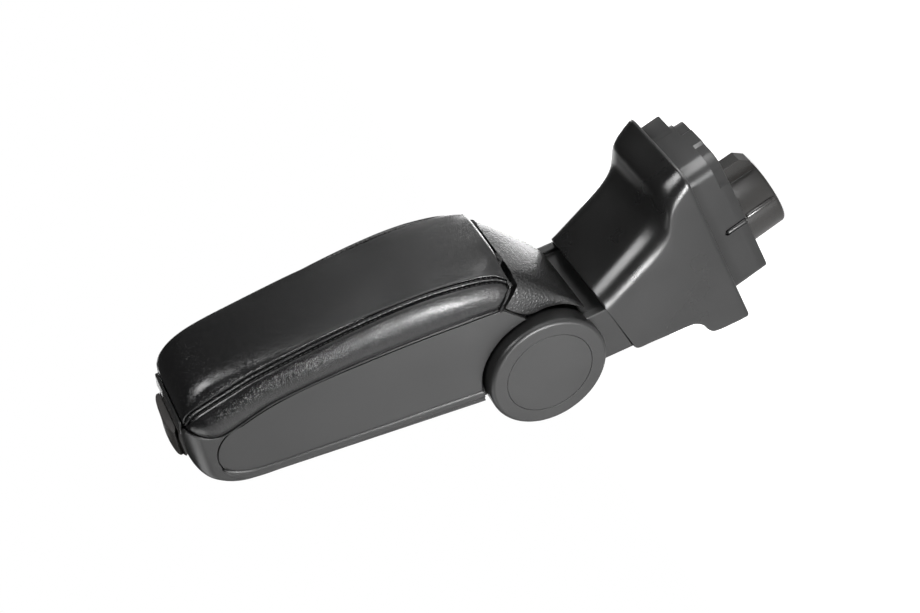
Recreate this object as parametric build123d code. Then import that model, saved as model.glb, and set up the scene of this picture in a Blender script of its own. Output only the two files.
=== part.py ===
# Car centre armrest: a padded storage box on a friction hinge, carried by a console base that plugs
# into a cup holder. Millimetres. X runs to the right of the car, Y forward, Z up. The origin is on the
# plug axis, level with the flange's underside. The arm is drawn folded up, leaning back as it is parked;
# it folds forward to lie level over the console.
import os
from math import atan2, cos, degrees, radians, sin, sqrt, tan

from build123d import *

# Hinge between base and arm
HINGE_HEIGHT = 170.0  # hinge axis above the flange underside
HINGE_SETBACK = 22.0  # hinge axis behind the plug axis
PARK_LEAN = 14.0  # lean of the neck and of the parked arm behind upright, degrees
AXLE_R = 6.0
AXLE_RUN = 0.05  # running clearance round the axle
AXLE_HEAD_R = 11.0
AXLE_HEAD = 3.0
SLEEVE_WALL = 3.0
BARREL_R = 49.0
WASHER = 1.3  # friction washer thickness
CHEEK_R = 46.0
CHEEK = 8.0  # thickness of each cheek of the yoke
DISC_SPRING = 1.2

# General
WALL = 3.0
SLIDE = 0.3  # gap between pieces that move on each other
FIT = 0.1  # gap between pieces fixed to each other
SHADOW_GAP = 3.5  # open gap round the hub covers

# Hub covers
COVER_R = 52.0
COVER_DEPTH = 9.5  # how far a cover stands off the cheek
COVER_SHELL = 3.0
COVER_ROUND = 4.0
CAP_R = 38.0
CAP = 1.8

# Console base
BASE_WIDTH = 100.0
FLANGE_BACK = 111.0  # behind the plug axis
FLANGE_FRONT = 70.0
LIP_HEIGHT = 19.0
LIP_SLOPE = 6.0  # how far the lip leans in at its top
SHELF = 6.0  # depth of the flat on top of the rear lip
SCOOP_BACK = 68.0
SCOOP_HEIGHT = 54.0
COLUMN_BACK = 50.0
COLUMN_FRONT = 25.0
COLUMN_FRONT_DROP = 7.0
NOTCH_FRONT = 43.0
NOTCH_HEIGHT = 43.0
TOE_LENGTH = 20.0
TOE_HEIGHT = 33.0
EDGE_ROUND = 10.0
FLANGE_BEVEL = 2.5

# Neck and steel post
NECK_RISE = 65.0  # hinge axis above the column's rear edge
NECK_BACK = 30.5
NECK_FRONT = 21.0
NECK_RECESS = 4.0
TONGUE_STEP = 3.5  # how much the neck narrows to enter the column
TONGUE_LENGTH = 30.0
POST_WIDTH = 60.0
POST_DEPTH = 26.0
POST_WALL = 3.0
POST_TOP = 62.0  # below the hinge axis
FOOT = 4.0
FOOT_WIDTH = 86.0
FOOT_DEPTH = 80.0
BOLT_R = 3.0
BOLT_HEAD_R = 5.5
BOLT_HEAD = 3.5

# Insert under the flange and cup plug
INSERT_PLATE = 4.0
INSERT_WIDTH = 62.0
INSERT_BACK = 98.0
INSERT_FRONT = 52.0
INSERT_DEPTH = 35.0
INSERT_CORNER = 17.0
HEEL_LENGTH = 8.0  # upper step behind the insert
HEEL_DEPTH = 18.0
SLOT_WIDTH = 6.0
SLOT_DEPTH = 1.6
SLOT_LENGTH = 19.0
PLUG_R = 32.5
PLUG_END_R = 31.5
PLUG_LENGTH = 33.0
PLUG_ROUND = 3.0
KEY_WIDTH = 12.0
KEY_OUT = 17.0
KEY_LENGTH = 30.0
RIB_R = 2.0
RIB_TURN = 204.0  # place of the rib round the plug, degrees
SCREW_R = 2.0
SCREW_HEAD_R = 3.8
SCREW_HEAD = 2.5
BOSS_R = 5.0
PLUG_SCREW_RING = 22.0

# Arm box, in use: f runs forward from the hinge axis, u up from it
BOX_LENGTH = 291.0
BOX_HALF_REAR = 48.5
BOX_HALF_FRONT = 41.0
BOX_CORNER = 14.0
BOX_EDGE = 4.0  # rounding of the tub's lower edges
TAPER_START = 60.0
FLOOR_REAR = 12.5  # tub floor below the hinge axis at its rear
FLOOR_FRONT = 10.0  # tub floor above the hinge axis at its front
FRONT_ROUND = 41.0
FRONT_FLAT = 52.0  # height where the front starts to lean back
FRONT_TOP = 80.0
FRONT_LEAN = 2.5
TUB_REAR = 50.0  # outside of the tub's rear wall
PART_GAP = 1.2  # gap between tub and lid
PART_REAR_F = 24.0
PART_REAR = 77.0
PART_MID = 82.5
PART_DIP = 67.0
PART_FRONT = 84.0
PART_RISE_AT = 0.31  # share of the box length where the parting line levels off
PART_MID_AT = 0.52  # share where it is highest
PART_FALL_SET = 81.0  # set back from the box front where it starts down
PART_SLOPE_SET = 46.0  # where it is steepest
PART_DIP_SET = 27.0  # where it is lowest
PART_CURL_SET = 13.0  # where it curls up to the front
PART_EASE = 1.0  # easing of the parting line beside its high and low points
DECK = 4.0
MAT = 1.5

# Side panels
PANEL = 2.2
PANEL_GROOVE = 1.2
PANEL_FRONT_INSET = 20.0
PANEL_BAND = 8.0  # tub band left below the panel
PANEL_TOP_RIM = 2.0

# Rear hood
HOOD_TOP = 101.0
HOOD_FRONT = 8.2
HOOD_END = 33.0
HOOD_OVER = 8.0  # hood surface outside the barrel
HOOD_WALL = 2.5

# Lid
LID_CROWN = 126.0
LID_SHOULDER = 119.0  # height where the crown turns down to the side
LID_SHOULDER_IN = 9.0  # shoulder inside the box's rear half width
LID_SIDE = 104.0
LID_CORNER = 18.0
LID_REAR_F = 10.3
LID_REAR_LOW = 92.0
LID_REAR_HIGH = 103.0
LID_REAR_TOP = 117.0
LID_REAR_LEAN = 6.7
LID_FRONT_INSET = 5.0
LID_NOSE = 104.0
LID_NOSE_RUN = 24.0
LID_NOSE_FULL = 0.62  # share of the nose's height reached a quarter of the way back
PAD_SKIN = 5.0
LID_PLATE = 4.0
LID_PLATE_U = 84.0
LID_AXIS_F = 13.0
LID_AXIS_U = 105.0
LID_PIN_R = 2.0
EAR = 4.0
EAR_R = 5.0
EAR_PLACE = 22.0
BUMPER_R = 4.0
BUMPER_RISE = 0.55  # share of the parting line's rise at the bumpers
LID_SCREW_AT = 0.3  # share of the box length from either end to the lid screws
STRIKER_WIDTH = 24.0
STRIKER = 2.0
STRIKER_DROP = 10.0

# Latch
LATCH_WIDTH = 52.0
LATCH_TOP = 74.0
LATCH_LOW = 47.0
LATCH_GAP = 0.6
LATCH_PLATE = 4.0
LATCH_LIP = 6.0  # how far the handle's lower lip stands forward
LATCH_BOW = 5.0  # how much the lip curves back at its ends
LATCH_PIN_R = 1.5
LATCH_PIN_SET = 7.0  # pin behind the box front
HOOK_WIDTH = 14.0
HOOK_GAP = 1.2

hub = Pos(0, -HINGE_SETBACK, HINGE_HEIGHT)
neck_frame = hub * Rot(PARK_LEAN, 0, 0)
arm_frame = hub * Rot(90 + PARK_LEAN, 0, 0)
half = BASE_WIDTH / 2
cheek_in = half - CHEEK
barrel_half = cheek_in - WASHER - SLIDE
FAR = 400.0  # longer than any piece, for cutting blocks
STANDING = (Align.CENTER, Align.CENTER, Align.MIN)  # a rod that stands on its place
HANGING = (Align.CENTER, Align.CENTER, Align.MAX)  # a rod that hangs from its place


def side_prism(outline, half_width):
    return extrude(Plane.YZ * make_face(outline), amount=half_width, both=True)


def side_poly(points, half_width):
    return side_prism(Polyline(*points, close=True), half_width)


def x_rod(radius, x_from, x_to, f=0.0, u=0.0):
    return Pos((x_from + x_to) / 2, f, u) * Rot(0, 90, 0) * Cylinder(radius, abs(x_to - x_from))


def block(x, y, z):
    size = [b - a for a, b in (x, y, z)]
    return Pos(x[0], y[0], z[0]) * Box(*size, align=(Align.MIN, Align.MIN, Align.MIN))


def both_sides(piece):
    return piece + mirror(piece, about=Plane.YZ)


# Console base: one hollow moulding, flat sided, its back scooped out to a thick flange lip
column_height = HINGE_HEIGHT - NECK_RISE
back_dir = Vector(SCOOP_BACK - COLUMN_BACK, column_height - SCOOP_HEIGHT, 0).normalized()
shelf_y = -(FLANGE_BACK - LIP_SLOPE - SHELF)
lip_top = (-(FLANGE_BACK - LIP_SLOPE), LIP_HEIGHT)
column_line = Line((-COLUMN_BACK, column_height), (-SCOOP_BACK, SCOOP_HEIGHT))
scoop = TangentArc(
    (-SCOOP_BACK, SCOOP_HEIGHT), (shelf_y, LIP_HEIGHT + SHELF / 2), tangent=(-back_dir.X, -back_dir.Y)
)
column_front_top = (COLUMN_FRONT, column_height - COLUMN_FRONT_DROP)
toe_top = (NOTCH_FRONT + TOE_LENGTH, TOE_HEIGHT)
base_outline = (
    column_line
    + scoop
    + Polyline(
        (shelf_y, LIP_HEIGHT + SHELF / 2),
        lip_top,
        (-FLANGE_BACK, FLANGE_BEVEL),
        (-FLANGE_BACK + FLANGE_BEVEL, 0),
        (FLANGE_FRONT - FLANGE_BEVEL, 0),
        (FLANGE_FRONT, 2 * FLANGE_BEVEL),
        toe_top,
        (NOTCH_FRONT + TOE_LENGTH / 2, NOTCH_HEIGHT - EDGE_ROUND / 2),
        (NOTCH_FRONT, NOTCH_HEIGHT),
        column_front_top,
        (-COLUMN_BACK, column_height),
    )
)
base_face = make_face(base_outline)
base_body = extrude(Plane.YZ * base_face, amount=half, both=True)
rear_edges = [
    e for e in base_body.edges()
    if abs(abs(e.center().X) - half) < FIT
    and e.center().Y < -COLUMN_BACK
    and e.center().Z > 2 * FLANGE_BEVEL
]
base_body = fillet(rear_edges, EDGE_ROUND)
cavity = extrude(Plane.YZ * offset(base_face, -WALL), amount=half - WALL, both=True)
cavity += block(
    (-half + WALL, half - WALL),
    (-FLANGE_BACK + 2 * WALL, FLANGE_FRONT - 2 * WALL),
    (-WALL, 2 * WALL),
)
tongue_half = half - TONGUE_STEP
tongue_y = (-NECK_BACK + TONGUE_STEP + NECK_RECESS, NECK_FRONT - TONGUE_STEP)
socket = neck_frame * block(
    (-tongue_half - FIT, tongue_half + FIT), (tongue_y[0] - FIT, tongue_y[1] + FIT), (-FAR / 2, 0)
)
above_column = side_poly(
    [
        (-FAR, column_height + (FAR - COLUMN_BACK) * COLUMN_FRONT_DROP / (COLUMN_FRONT + COLUMN_BACK)),
        (FAR, column_height - (FAR + COLUMN_BACK) * COLUMN_FRONT_DROP / (COLUMN_FRONT + COLUMN_BACK)),
        (FAR, FAR),
        (-FAR, FAR),
    ],
    FAR,
)
socket_block = Pos(0, 0, column_height) * Box(FAR, FAR, 2 * TONGUE_LENGTH)
base_shell = base_body - cavity - (socket & base_body & socket_block)

# Neck yoke: a post that stands in the column, with two round cheeks that carry the hinge axle
upper_post = (neck_frame * block((-half, half), (-NECK_BACK, NECK_FRONT), (-FAR / 2, 0))) & above_column
seat_drop = (HINGE_HEIGHT - column_height) / cos(radians(PARK_LEAN))
tongue_end = seat_drop + COLUMN_FRONT_DROP + TONGUE_LENGTH
tongue_z = (-tongue_end, -seat_drop + COLUMN_FRONT_DROP)
tongue = neck_frame * block((-tongue_half, tongue_half), tongue_y, tongue_z)
post_mid = (tongue_y[0] + tongue_y[1]) / 2
post_y = (post_mid - POST_DEPTH / 2, post_mid + POST_DEPTH / 2)
post_half = POST_WIDTH / 2
neck_local = both_sides(x_rod(CHEEK_R, cheek_in, half))
neck_cuts = x_rod(BARREL_R + 2 * SLIDE, -cheek_in, cheek_in)
neck_cuts += block((-cheek_in, cheek_in), (-NECK_BACK - WALL, -NECK_BACK + NECK_RECESS), (-FAR / 2, 0))
neck_cuts += block(
    (-post_half - FIT, post_half + FIT),
    (post_y[0] - FIT, post_y[1] + FIT),
    (-FAR / 2, -POST_TOP),
)
neck_cuts += x_rod(AXLE_R + FIT, -FAR, FAR)
bolt_u = -(tongue_end - TONGUE_LENGTH / 2)
bolt_places = [(-post_half / 2, bolt_u), (post_half / 2, bolt_u)]
front_bolt = Rot(-90, 0, 0)
bolt_length = tongue_y[1] - post_y[1] + POST_WALL
neck_bolt_local = None
for bolt_x, bolt_z in bolt_places:
    place = Pos(bolt_x, tongue_y[1], bolt_z) * front_bolt
    head = place * Cylinder(BOLT_HEAD_R, BOLT_HEAD, align=STANDING)
    shank = place * Cylinder(BOLT_R, bolt_length, align=HANGING)
    hole = place * Cylinder(BOLT_R + FIT, 2 * bolt_length, align=HANGING)
    neck_cuts += hole
    neck_bolt_local = head + shank if neck_bolt_local is None else neck_bolt_local + head + shank
neck_yoke = upper_post + tongue + neck_frame * neck_local - neck_frame * neck_cuts
neck_bolts = neck_frame * neck_bolt_local

# Steel post: a rectangular tube on a foot plate, inside the column and the neck
post_tube = block((-post_half, post_half), post_y, (-FAR / 2, -POST_TOP - FIT))
post_tube -= block(
    (-post_half + POST_WALL, post_half - POST_WALL),
    (post_y[0] + POST_WALL, post_y[1] - POST_WALL),
    (-FAR / 2, 0),
)
for bolt_x, bolt_z in bolt_places:
    place = Pos(bolt_x, tongue_y[1], bolt_z) * front_bolt
    post_tube -= place * Cylinder(BOLT_R + FIT, 2 * bolt_length, align=HANGING)
foot_y = -HINGE_SETBACK + (HINGE_HEIGHT - INSERT_PLATE) * tan(radians(PARK_LEAN)) + post_mid
foot_z = (INSERT_PLATE, INSERT_PLATE + FOOT)
foot = block((-FOOT_WIDTH / 2, FOOT_WIDTH / 2), (foot_y - FOOT_DEPTH / 2, foot_y + FOOT_DEPTH / 2), foot_z)
steel_post = (neck_frame * post_tube) & block((-FAR, FAR), (-FAR, FAR), (foot_z[0], FAR))
steel_post += foot
bolt_inset = 2 * BOLT_R
foot_spots = [
    (sx * (FOOT_WIDTH / 2 - bolt_inset), foot_y + sy * (FOOT_DEPTH / 2 - bolt_inset))
    for sx in (-1, 1)
    for sy in (-1, 1)
]
foot_bolts = None
foot_holes = None
for spot_x, spot_y in foot_spots:
    bolt = Pos(spot_x, spot_y, foot_z[1]) * Cylinder(
        BOLT_HEAD_R, BOLT_HEAD, align=STANDING
    )
    bolt += Pos(spot_x, spot_y, 0) * Cylinder(BOLT_R, foot_z[1], align=STANDING)
    hole = Pos(spot_x, spot_y, 0) * Cylinder(BOLT_R + FIT, 2 * foot_z[1])
    foot_bolts = bolt if foot_bolts is None else foot_bolts + bolt
    foot_holes = hole if foot_holes is None else foot_holes + hole
steel_post -= foot_holes

# Insert: the open-topped block that drops into the console tray, closing the base from below
insert_half = INSERT_WIDTH / 2
insert_face = make_face(
    Polyline(
        (-insert_half, -INSERT_BACK),
        (insert_half, -INSERT_BACK),
        (insert_half, INSERT_FRONT),
        (-insert_half, INSERT_FRONT),
        close=True,
    )
)
insert_face = fillet(insert_face.vertices().sort_by(Axis.Y)[:2], INSERT_CORNER)
insert_face = fillet(insert_face.vertices().sort_by(Axis.Y)[-2:], EDGE_ROUND)
plate_y = (-FLANGE_BACK + 2 * WALL + FIT, FLANGE_FRONT - 2 * WALL - FIT)
plate_half = half - WALL - FIT
insert_block = block((-plate_half, plate_half), plate_y, (0, INSERT_PLATE))
insert_block += Pos(0, 0, -INSERT_DEPTH) * extrude(insert_face, amount=INSERT_DEPTH)
heel_half = insert_half - WALL
heel_y = (-INSERT_BACK - HEEL_LENGTH, -INSERT_BACK + INSERT_CORNER)
insert_block += block((-heel_half, heel_half), heel_y, (-HEEL_DEPTH, 0))
insert_block -= Pos(0, 0, -INSERT_DEPTH + WALL) * extrude(offset(insert_face, -WALL), amount=FAR)
slot = Pos(-insert_half, -SLOT_WIDTH * 2, -INSERT_DEPTH + SLOT_LENGTH - SLOT_WIDTH / 2)
slot_cut = slot * Rot(0, 90, 0) * Cylinder(SLOT_WIDTH / 2, 2 * SLOT_DEPTH)
slot_cut += block(
    (-insert_half - SLOT_DEPTH, -insert_half + SLOT_DEPTH),
    (-SLOT_WIDTH * 2.5, -SLOT_WIDTH * 1.5),
    (-INSERT_DEPTH, -INSERT_DEPTH + SLOT_LENGTH - SLOT_WIDTH / 2),
)
insert_block -= both_sides(slot_cut)
insert_block -= foot_holes

# Cup plug: a tapered cup with a key on its back and a guide rib on its side
plug_top = -INSERT_DEPTH
plug_end = plug_top - PLUG_LENGTH
plug_mid = Pos(0, 0, (plug_top + plug_end) / 2)
cup_plug = plug_mid * Cone(PLUG_END_R, PLUG_R, PLUG_LENGTH)
cup_plug = fillet(cup_plug.edges().sort_by(Axis.Z)[0], PLUG_ROUND)
key_root = PLUG_END_R - WALL / 2
key = block(
    (-KEY_WIDTH / 2, KEY_WIDTH / 2),
    (-PLUG_R - KEY_OUT, -key_root + WALL),
    (plug_top - KEY_LENGTH, plug_top),
)
key = chamfer(key.edges().filter_by(Axis.X).sort_by(Axis.Y)[:2].sort_by(Axis.Z)[0], KEY_OUT / 2)
rib_turn = radians(RIB_TURN)
rib_place = Pos(PLUG_END_R * cos(rib_turn), PLUG_END_R * sin(rib_turn), plug_top - KEY_LENGTH / 2)
rib = rib_place * Cylinder(RIB_R, KEY_LENGTH)
cup_plug += key + rib
plug_bore = Cone(PLUG_END_R - WALL, PLUG_R - WALL, PLUG_LENGTH - WALL)
cup_plug -= Pos(0, 0, (plug_top + plug_end + WALL) / 2) * plug_bore
plug_screws = None
insert_floor = plug_top + WALL
for turn in (90, 210, 330):
    spot = Pos(PLUG_SCREW_RING * cos(radians(turn)), PLUG_SCREW_RING * sin(radians(turn)), 0)
    boss = spot * Pos(0, 0, plug_top) * Cylinder(BOSS_R, PLUG_LENGTH - WALL / 2, align=HANGING)
    screw_depth = PLUG_LENGTH / 2
    screw = spot * Pos(0, 0, insert_floor) * Cylinder(
        SCREW_HEAD_R, SCREW_HEAD, align=STANDING
    )
    shank = spot * Pos(0, 0, insert_floor) * Cylinder(
        SCREW_R, WALL + screw_depth, align=HANGING
    )
    hole = spot * Pos(0, 0, insert_floor + FIT) * Cylinder(
        SCREW_R + FIT, WALL + screw_depth + 2 * FIT, align=HANGING
    )
    cup_plug = cup_plug + boss - hole
    insert_block -= hole
    plug_screws = screw + shank if plug_screws is None else plug_screws + screw + shank

# Hinge hardware: headed axle, friction washers, disc springs and nut
spring_stack = 2 * DISC_SPRING + FIT
nut_height = COVER_DEPTH - COVER_SHELL - spring_stack - SLIDE
axle_end = half + spring_stack + nut_height
hinge_axle = neck_frame * (
    x_rod(AXLE_R, -half, axle_end) + x_rod(AXLE_HEAD_R, -half - AXLE_HEAD, -half)
)
spring_ring = x_rod(AXLE_HEAD_R, half, half + DISC_SPRING) - x_rod(AXLE_R + FIT, 0, FAR)
spring_ring += Pos(DISC_SPRING + FIT, 0, 0) * spring_ring
disc_springs = neck_frame * spring_ring
nut_hex = extrude(RegularPolygon(AXLE_HEAD_R, 6), amount=nut_height)
nut_blank = Pos(half + spring_stack, 0, 0) * Rot(0, 90, 0) * nut_hex
axle_nut = neck_frame * (nut_blank - x_rod(AXLE_R + FIT, 0, FAR))
washer = x_rod(2 * AXLE_HEAD_R, barrel_half + SLIDE, cheek_in) - x_rod(AXLE_R + FIT, 0, FAR)
friction_washers = neck_frame * both_sides(washer)

# Hub covers: deep round caps over the cheeks, each with a flush disc in its face
cover_face = half + COVER_DEPTH
skirt_end = cheek_in + SLIDE
right_cover = x_rod(COVER_R, skirt_end, cover_face)
right_cover = fillet(right_cover.edges().sort_by(Axis.X)[-1], COVER_ROUND)
right_cover -= x_rod(CHEEK_R + SLIDE, 0, cover_face - COVER_SHELL)
right_cover -= x_rod(CAP_R, cover_face - CAP, FAR)
right_cover -= block((0, half + FIT), (-NECK_BACK - FIT, NECK_FRONT + FIT), (-FAR, 0))
right_cap = x_rod(CAP_R - SLIDE, cover_face - CAP, cover_face - FIT)
right_hub_cover = neck_frame * right_cover
right_hub_cap = neck_frame * right_cap
left_hub_cover = mirror(right_hub_cover, about=Plane.YZ)
left_hub_cap = mirror(right_hub_cap, about=Plane.YZ)


# Arm box. Pieces are drawn level, as in use, and turned up to the parked pose at the end
def plan_face(inset):
    corners = [
        (-BOX_HALF_REAR, -BARREL_R - HOOD_OVER),
        (BOX_HALF_REAR, -BARREL_R - HOOD_OVER),
        (BOX_HALF_REAR, TAPER_START),
        (BOX_HALF_FRONT, BOX_LENGTH),
        (-BOX_HALF_FRONT, BOX_LENGTH),
        (-BOX_HALF_REAR, TAPER_START),
    ]
    face = make_face(Polyline(*corners, close=True))
    face = fillet(face.vertices().sort_by(Axis.Y)[-2:], BOX_CORNER)
    return offset(face, -inset) if inset else face


def plan_prism(inset):
    return Pos(0, 0, -FAR / 2) * extrude(plan_face(inset), amount=FAR)


part_points = [
    (PART_REAR_F, PART_REAR),
    (BOX_LENGTH * PART_RISE_AT, PART_MID - PART_EASE),
    (BOX_LENGTH * PART_MID_AT, PART_MID),
    (BOX_LENGTH - PART_FALL_SET, PART_MID - 3 * PART_EASE),
    (BOX_LENGTH - PART_SLOPE_SET, PART_DIP + 4 * PART_EASE),
    (BOX_LENGTH - PART_DIP_SET, PART_DIP),
    (BOX_LENGTH - PART_CURL_SET, (PART_DIP + PART_FRONT) / 2 - PART_EASE),
    (BOX_LENGTH - LID_FRONT_INSET, PART_FRONT),
]


def part_line(shift, count=len(part_points)):
    return Spline(*[(f, u + shift) for f, u in part_points[:count]])


floor_end = (BOX_LENGTH - FRONT_ROUND, FLOOR_FRONT)
floor_run = Vector(floor_end[0] - TUB_REAR, FLOOR_FRONT + FLOOR_REAR, 0).normalized()
floor_slope = floor_run.Y / floor_run.X


def floor_u(f):
    return -FLOOR_REAR + (f - TUB_REAR) * floor_slope


ring_r = COVER_R + SHADOW_GAP
ring_cut = both_sides(x_rod(ring_r, barrel_half, FAR))
hood_foot = (SHADOW_GAP, BARREL_R + WALL)
tub_rear_top = (PART_REAR_F, PART_REAR - PART_GAP / 2)
tub_front_top = (BOX_LENGTH - LID_FRONT_INSET, PART_FRONT - PART_GAP / 2)
tub_outline = (
    part_line(-PART_GAP / 2)
    + Line(tub_front_top, (BOX_LENGTH - FRONT_LEAN, FRONT_TOP))
    + Line((BOX_LENGTH - FRONT_LEAN, FRONT_TOP), (BOX_LENGTH, FRONT_FLAT))
    + TangentArc(floor_end, (BOX_LENGTH, FRONT_FLAT), tangent=(floor_run.X, floor_run.Y))
    + Polyline(
        floor_end, (TUB_REAR, -FLOOR_REAR), (0, -FLOOR_REAR), (0, hood_foot[1]), hood_foot, tub_rear_top
    )
)
inner_end = (floor_end[0], floor_end[1] + WALL)
inner_start = (TUB_REAR + WALL, floor_u(TUB_REAR + WALL) + WALL)
inner_front = (BOX_LENGTH - WALL, FRONT_FLAT)
tub_cavity = side_prism(
    Line(inner_start, inner_end)
    + TangentArc(inner_end, inner_front, tangent=(floor_run.X, floor_run.Y))
    + Polyline(inner_front, (inner_front[0], FAR), (inner_start[0], FAR), inner_start),
    FAR,
) & plan_prism(WALL)
tub = side_prism(tub_outline, FAR) & plan_prism(0)
low_edges = [
    e for e in tub.edges()
    if abs(e.center().X) > BOX_HALF_FRONT / 2
    and e.center().Z < FRONT_FLAT
    and TUB_REAR < e.center().Y < BOX_LENGTH - WALL
]
tub = fillet(low_edges, BOX_EDGE)
tub += x_rod(BARREL_R, -barrel_half, barrel_half)
tub -= tub_cavity + ring_cut
barrel_in = BARREL_R - WALL
end_in = barrel_half - WALL
deck_u = PART_REAR - DECK
under_deck = block((-end_in, end_in), (-WALL, TUB_REAR), (hood_foot[1] - WALL, deck_u))
tub -= under_deck - x_rod(BARREL_R, -FAR, FAR)
tub -= x_rod(barrel_in, -end_in, end_in)
sleeve_r = AXLE_R + AXLE_RUN + SLEEVE_WALL
tub -= x_rod(sleeve_r + FIT, -FAR, FAR)

# Steel bracket: a sleeve on the axle, a web and a flange screwed to the tub's rear wall
bracket_half = barrel_half / 2
flange_u = (-FLOOR_REAR + WALL + FIT, barrel_in - 2 * WALL)
arm_bracket = x_rod(sleeve_r, -barrel_half, barrel_half)
arm_bracket += block((-bracket_half, bracket_half), (0, TUB_REAR), (-SLEEVE_WALL, SLEEVE_WALL))
arm_bracket += block((-bracket_half, bracket_half), (TUB_REAR - SLEEVE_WALL, TUB_REAR), flange_u)
arm_bracket -= x_rod(AXLE_R + AXLE_RUN, -FAR, FAR)
tub -= block(
    (-bracket_half - FIT, bracket_half + FIT),
    (barrel_in - 4 * WALL, TUB_REAR),
    (flange_u[0] - FIT, flange_u[1] + FIT),
)
bracket_screws = None
for screw_x in (-bracket_half / 2, bracket_half / 2):
    place = Pos(screw_x, TUB_REAR + WALL, (flange_u[1] + SLEEVE_WALL) / 2) * Rot(-90, 0, 0)
    screw = place * Cylinder(SCREW_HEAD_R, SCREW_HEAD, align=STANDING)
    screw += place * Cylinder(SCREW_R, 3 * WALL, align=HANGING)
    hole = place * Cylinder(SCREW_R + FIT, 4 * WALL, align=HANGING)
    tub -= hole
    arm_bracket -= hole
    bracket_screws = screw if bracket_screws is None else bracket_screws + screw

# Side panels: flush plates set in grooved recesses in the tub's sides
panel_nose_f = BOX_LENGTH - PANEL_FRONT_INSET - (PART_DIP - FLOOR_FRONT - PANEL_BAND) / 2


def panel_outline(grow):
    top_shift = -PART_GAP / 2 - PANEL_TOP_RIM + grow
    nose_top = (part_points[4][0], part_points[4][1] + top_shift)
    nose_low = (panel_nose_f, floor_u(panel_nose_f) + PANEL_BAND - grow)
    nose = (BOX_LENGTH - PANEL_FRONT_INSET + grow, (nose_low[1] + nose_top[1]) / 2)
    rear_low = (TUB_REAR, floor_u(TUB_REAR) + PANEL_BAND - grow)
    rear_top = (PART_REAR_F, PART_REAR + top_shift)
    return (
        part_line(top_shift, 5)
        + ThreePointArc(nose_top, nose, nose_low)
        + Polyline(nose_low, rear_low, (0, rear_low[1]), (0, hood_foot[1]), hood_foot, rear_top)
    )


right_half = block((0, FAR), (-FAR, FAR), (-FAR, FAR))
panel_pair = (side_prism(panel_outline(0), FAR) & plan_prism(0)) - plan_prism(PANEL) - ring_cut
tub -= side_prism(panel_outline(PANEL_GROOVE), FAR) - plan_prism(PANEL)
right_panel = panel_pair & right_half
left_panel = panel_pair - right_half

# Rear hood: a sloping cover from the lid's rear edge down over the hinge barrel
hood_r = BARREL_R + HOOD_OVER
hood_top = (HOOD_FRONT, HOOD_TOP)
hood_reach = sqrt(HOOD_FRONT**2 + HOOD_TOP**2)
touch_turn = degrees(atan2(HOOD_TOP, HOOD_FRONT)) + degrees(atan2(sqrt(hood_reach**2 - hood_r**2), hood_r))
touch = (hood_r * cos(radians(touch_turn)), hood_r * sin(radians(touch_turn)))
hood_last = (-sqrt(hood_r**2 - HOOD_END**2), HOOD_END)
hood_gap = HOOD_FRONT - LID_REAR_F
hood_outline = (
    Line(hood_top, touch)
    + TangentArc(touch, hood_last, tangent=(touch[0] - hood_top[0], touch[1] - hood_top[1]))
    + Polyline(
        hood_last,
        (0, HOOD_END),
        (0, hood_foot[1]),
        hood_foot,
        (PART_REAR_F + hood_gap, PART_REAR - PART_GAP / 2 + hood_gap),
        (HOOD_FRONT, LID_REAR_LOW - PART_GAP), hood_top,
    )
)
hood_face = make_face(hood_outline)
hood_plan = make_face(
    Polyline(
        (-barrel_half, -hood_r),
        (barrel_half, -hood_r),
        (BOX_HALF_REAR, HOOD_FRONT),
        (BOX_HALF_REAR, BOX_LENGTH),
        (-BOX_HALF_REAR, BOX_LENGTH), (-BOX_HALF_REAR, HOOD_FRONT), close=True,
    )
)
rear_hood = side_prism(hood_outline, FAR) & (Pos(0, 0, -FAR / 2) * extrude(hood_plan, amount=FAR))
rear_hood -= extrude(Plane.YZ * offset(hood_face, -HOOD_WALL), amount=barrel_half - HOOD_WALL, both=True)
rear_hood -= x_rod(BARREL_R + FIT, -FAR, FAR) + ring_cut
ear_reach = EAR_R - LID_PIN_R
pin_hole = x_rod(LID_PIN_R + FIT, -FAR, FAR, LID_AXIS_F, LID_AXIS_U)
pin_run = x_rod(LID_PIN_R + AXLE_RUN, -FAR, FAR, LID_AXIS_F, LID_AXIS_U)
hood_ear_x = (EAR_PLACE + EAR + SLIDE, EAR_PLACE + 2 * EAR + SLIDE)
hood_ear = x_rod(EAR_R, *hood_ear_x, LID_AXIS_F, LID_AXIS_U)
hood_ear += side_poly(
    [
        (HOOD_FRONT - HOOD_WALL, HOOD_TOP - 4 * HOOD_WALL), (HOOD_FRONT, HOOD_TOP - 4 * HOOD_WALL),
        (LID_AXIS_F + EAR_R, LID_AXIS_U),
        (LID_AXIS_F - EAR_R, LID_AXIS_U),
        (HOOD_FRONT - HOOD_WALL, HOOD_TOP - 2 * HOOD_WALL),
    ],
    FAR,
) & block(hood_ear_x, (-FAR, FAR), (-FAR, FAR))
rear_hood += both_sides(hood_ear)
rear_hood -= pin_hole
lid_hinge_pin = x_rod(LID_PIN_R, -hood_ear_x[1], hood_ear_x[1], LID_AXIS_F, LID_AXIS_U)

# Floor mat
mat_end = floor_end[0] - WALL
mat_start = TUB_REAR + 2 * WALL
tub_mat = side_poly(
    [
        (mat_start, floor_u(mat_start) + WALL), (mat_end, floor_u(mat_end) + WALL),
        (mat_end, floor_u(mat_end) + WALL + MAT), (mat_start, floor_u(mat_start) + WALL + MAT),
    ],
    FAR,
) & plan_prism(WALL + SLIDE)

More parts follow.
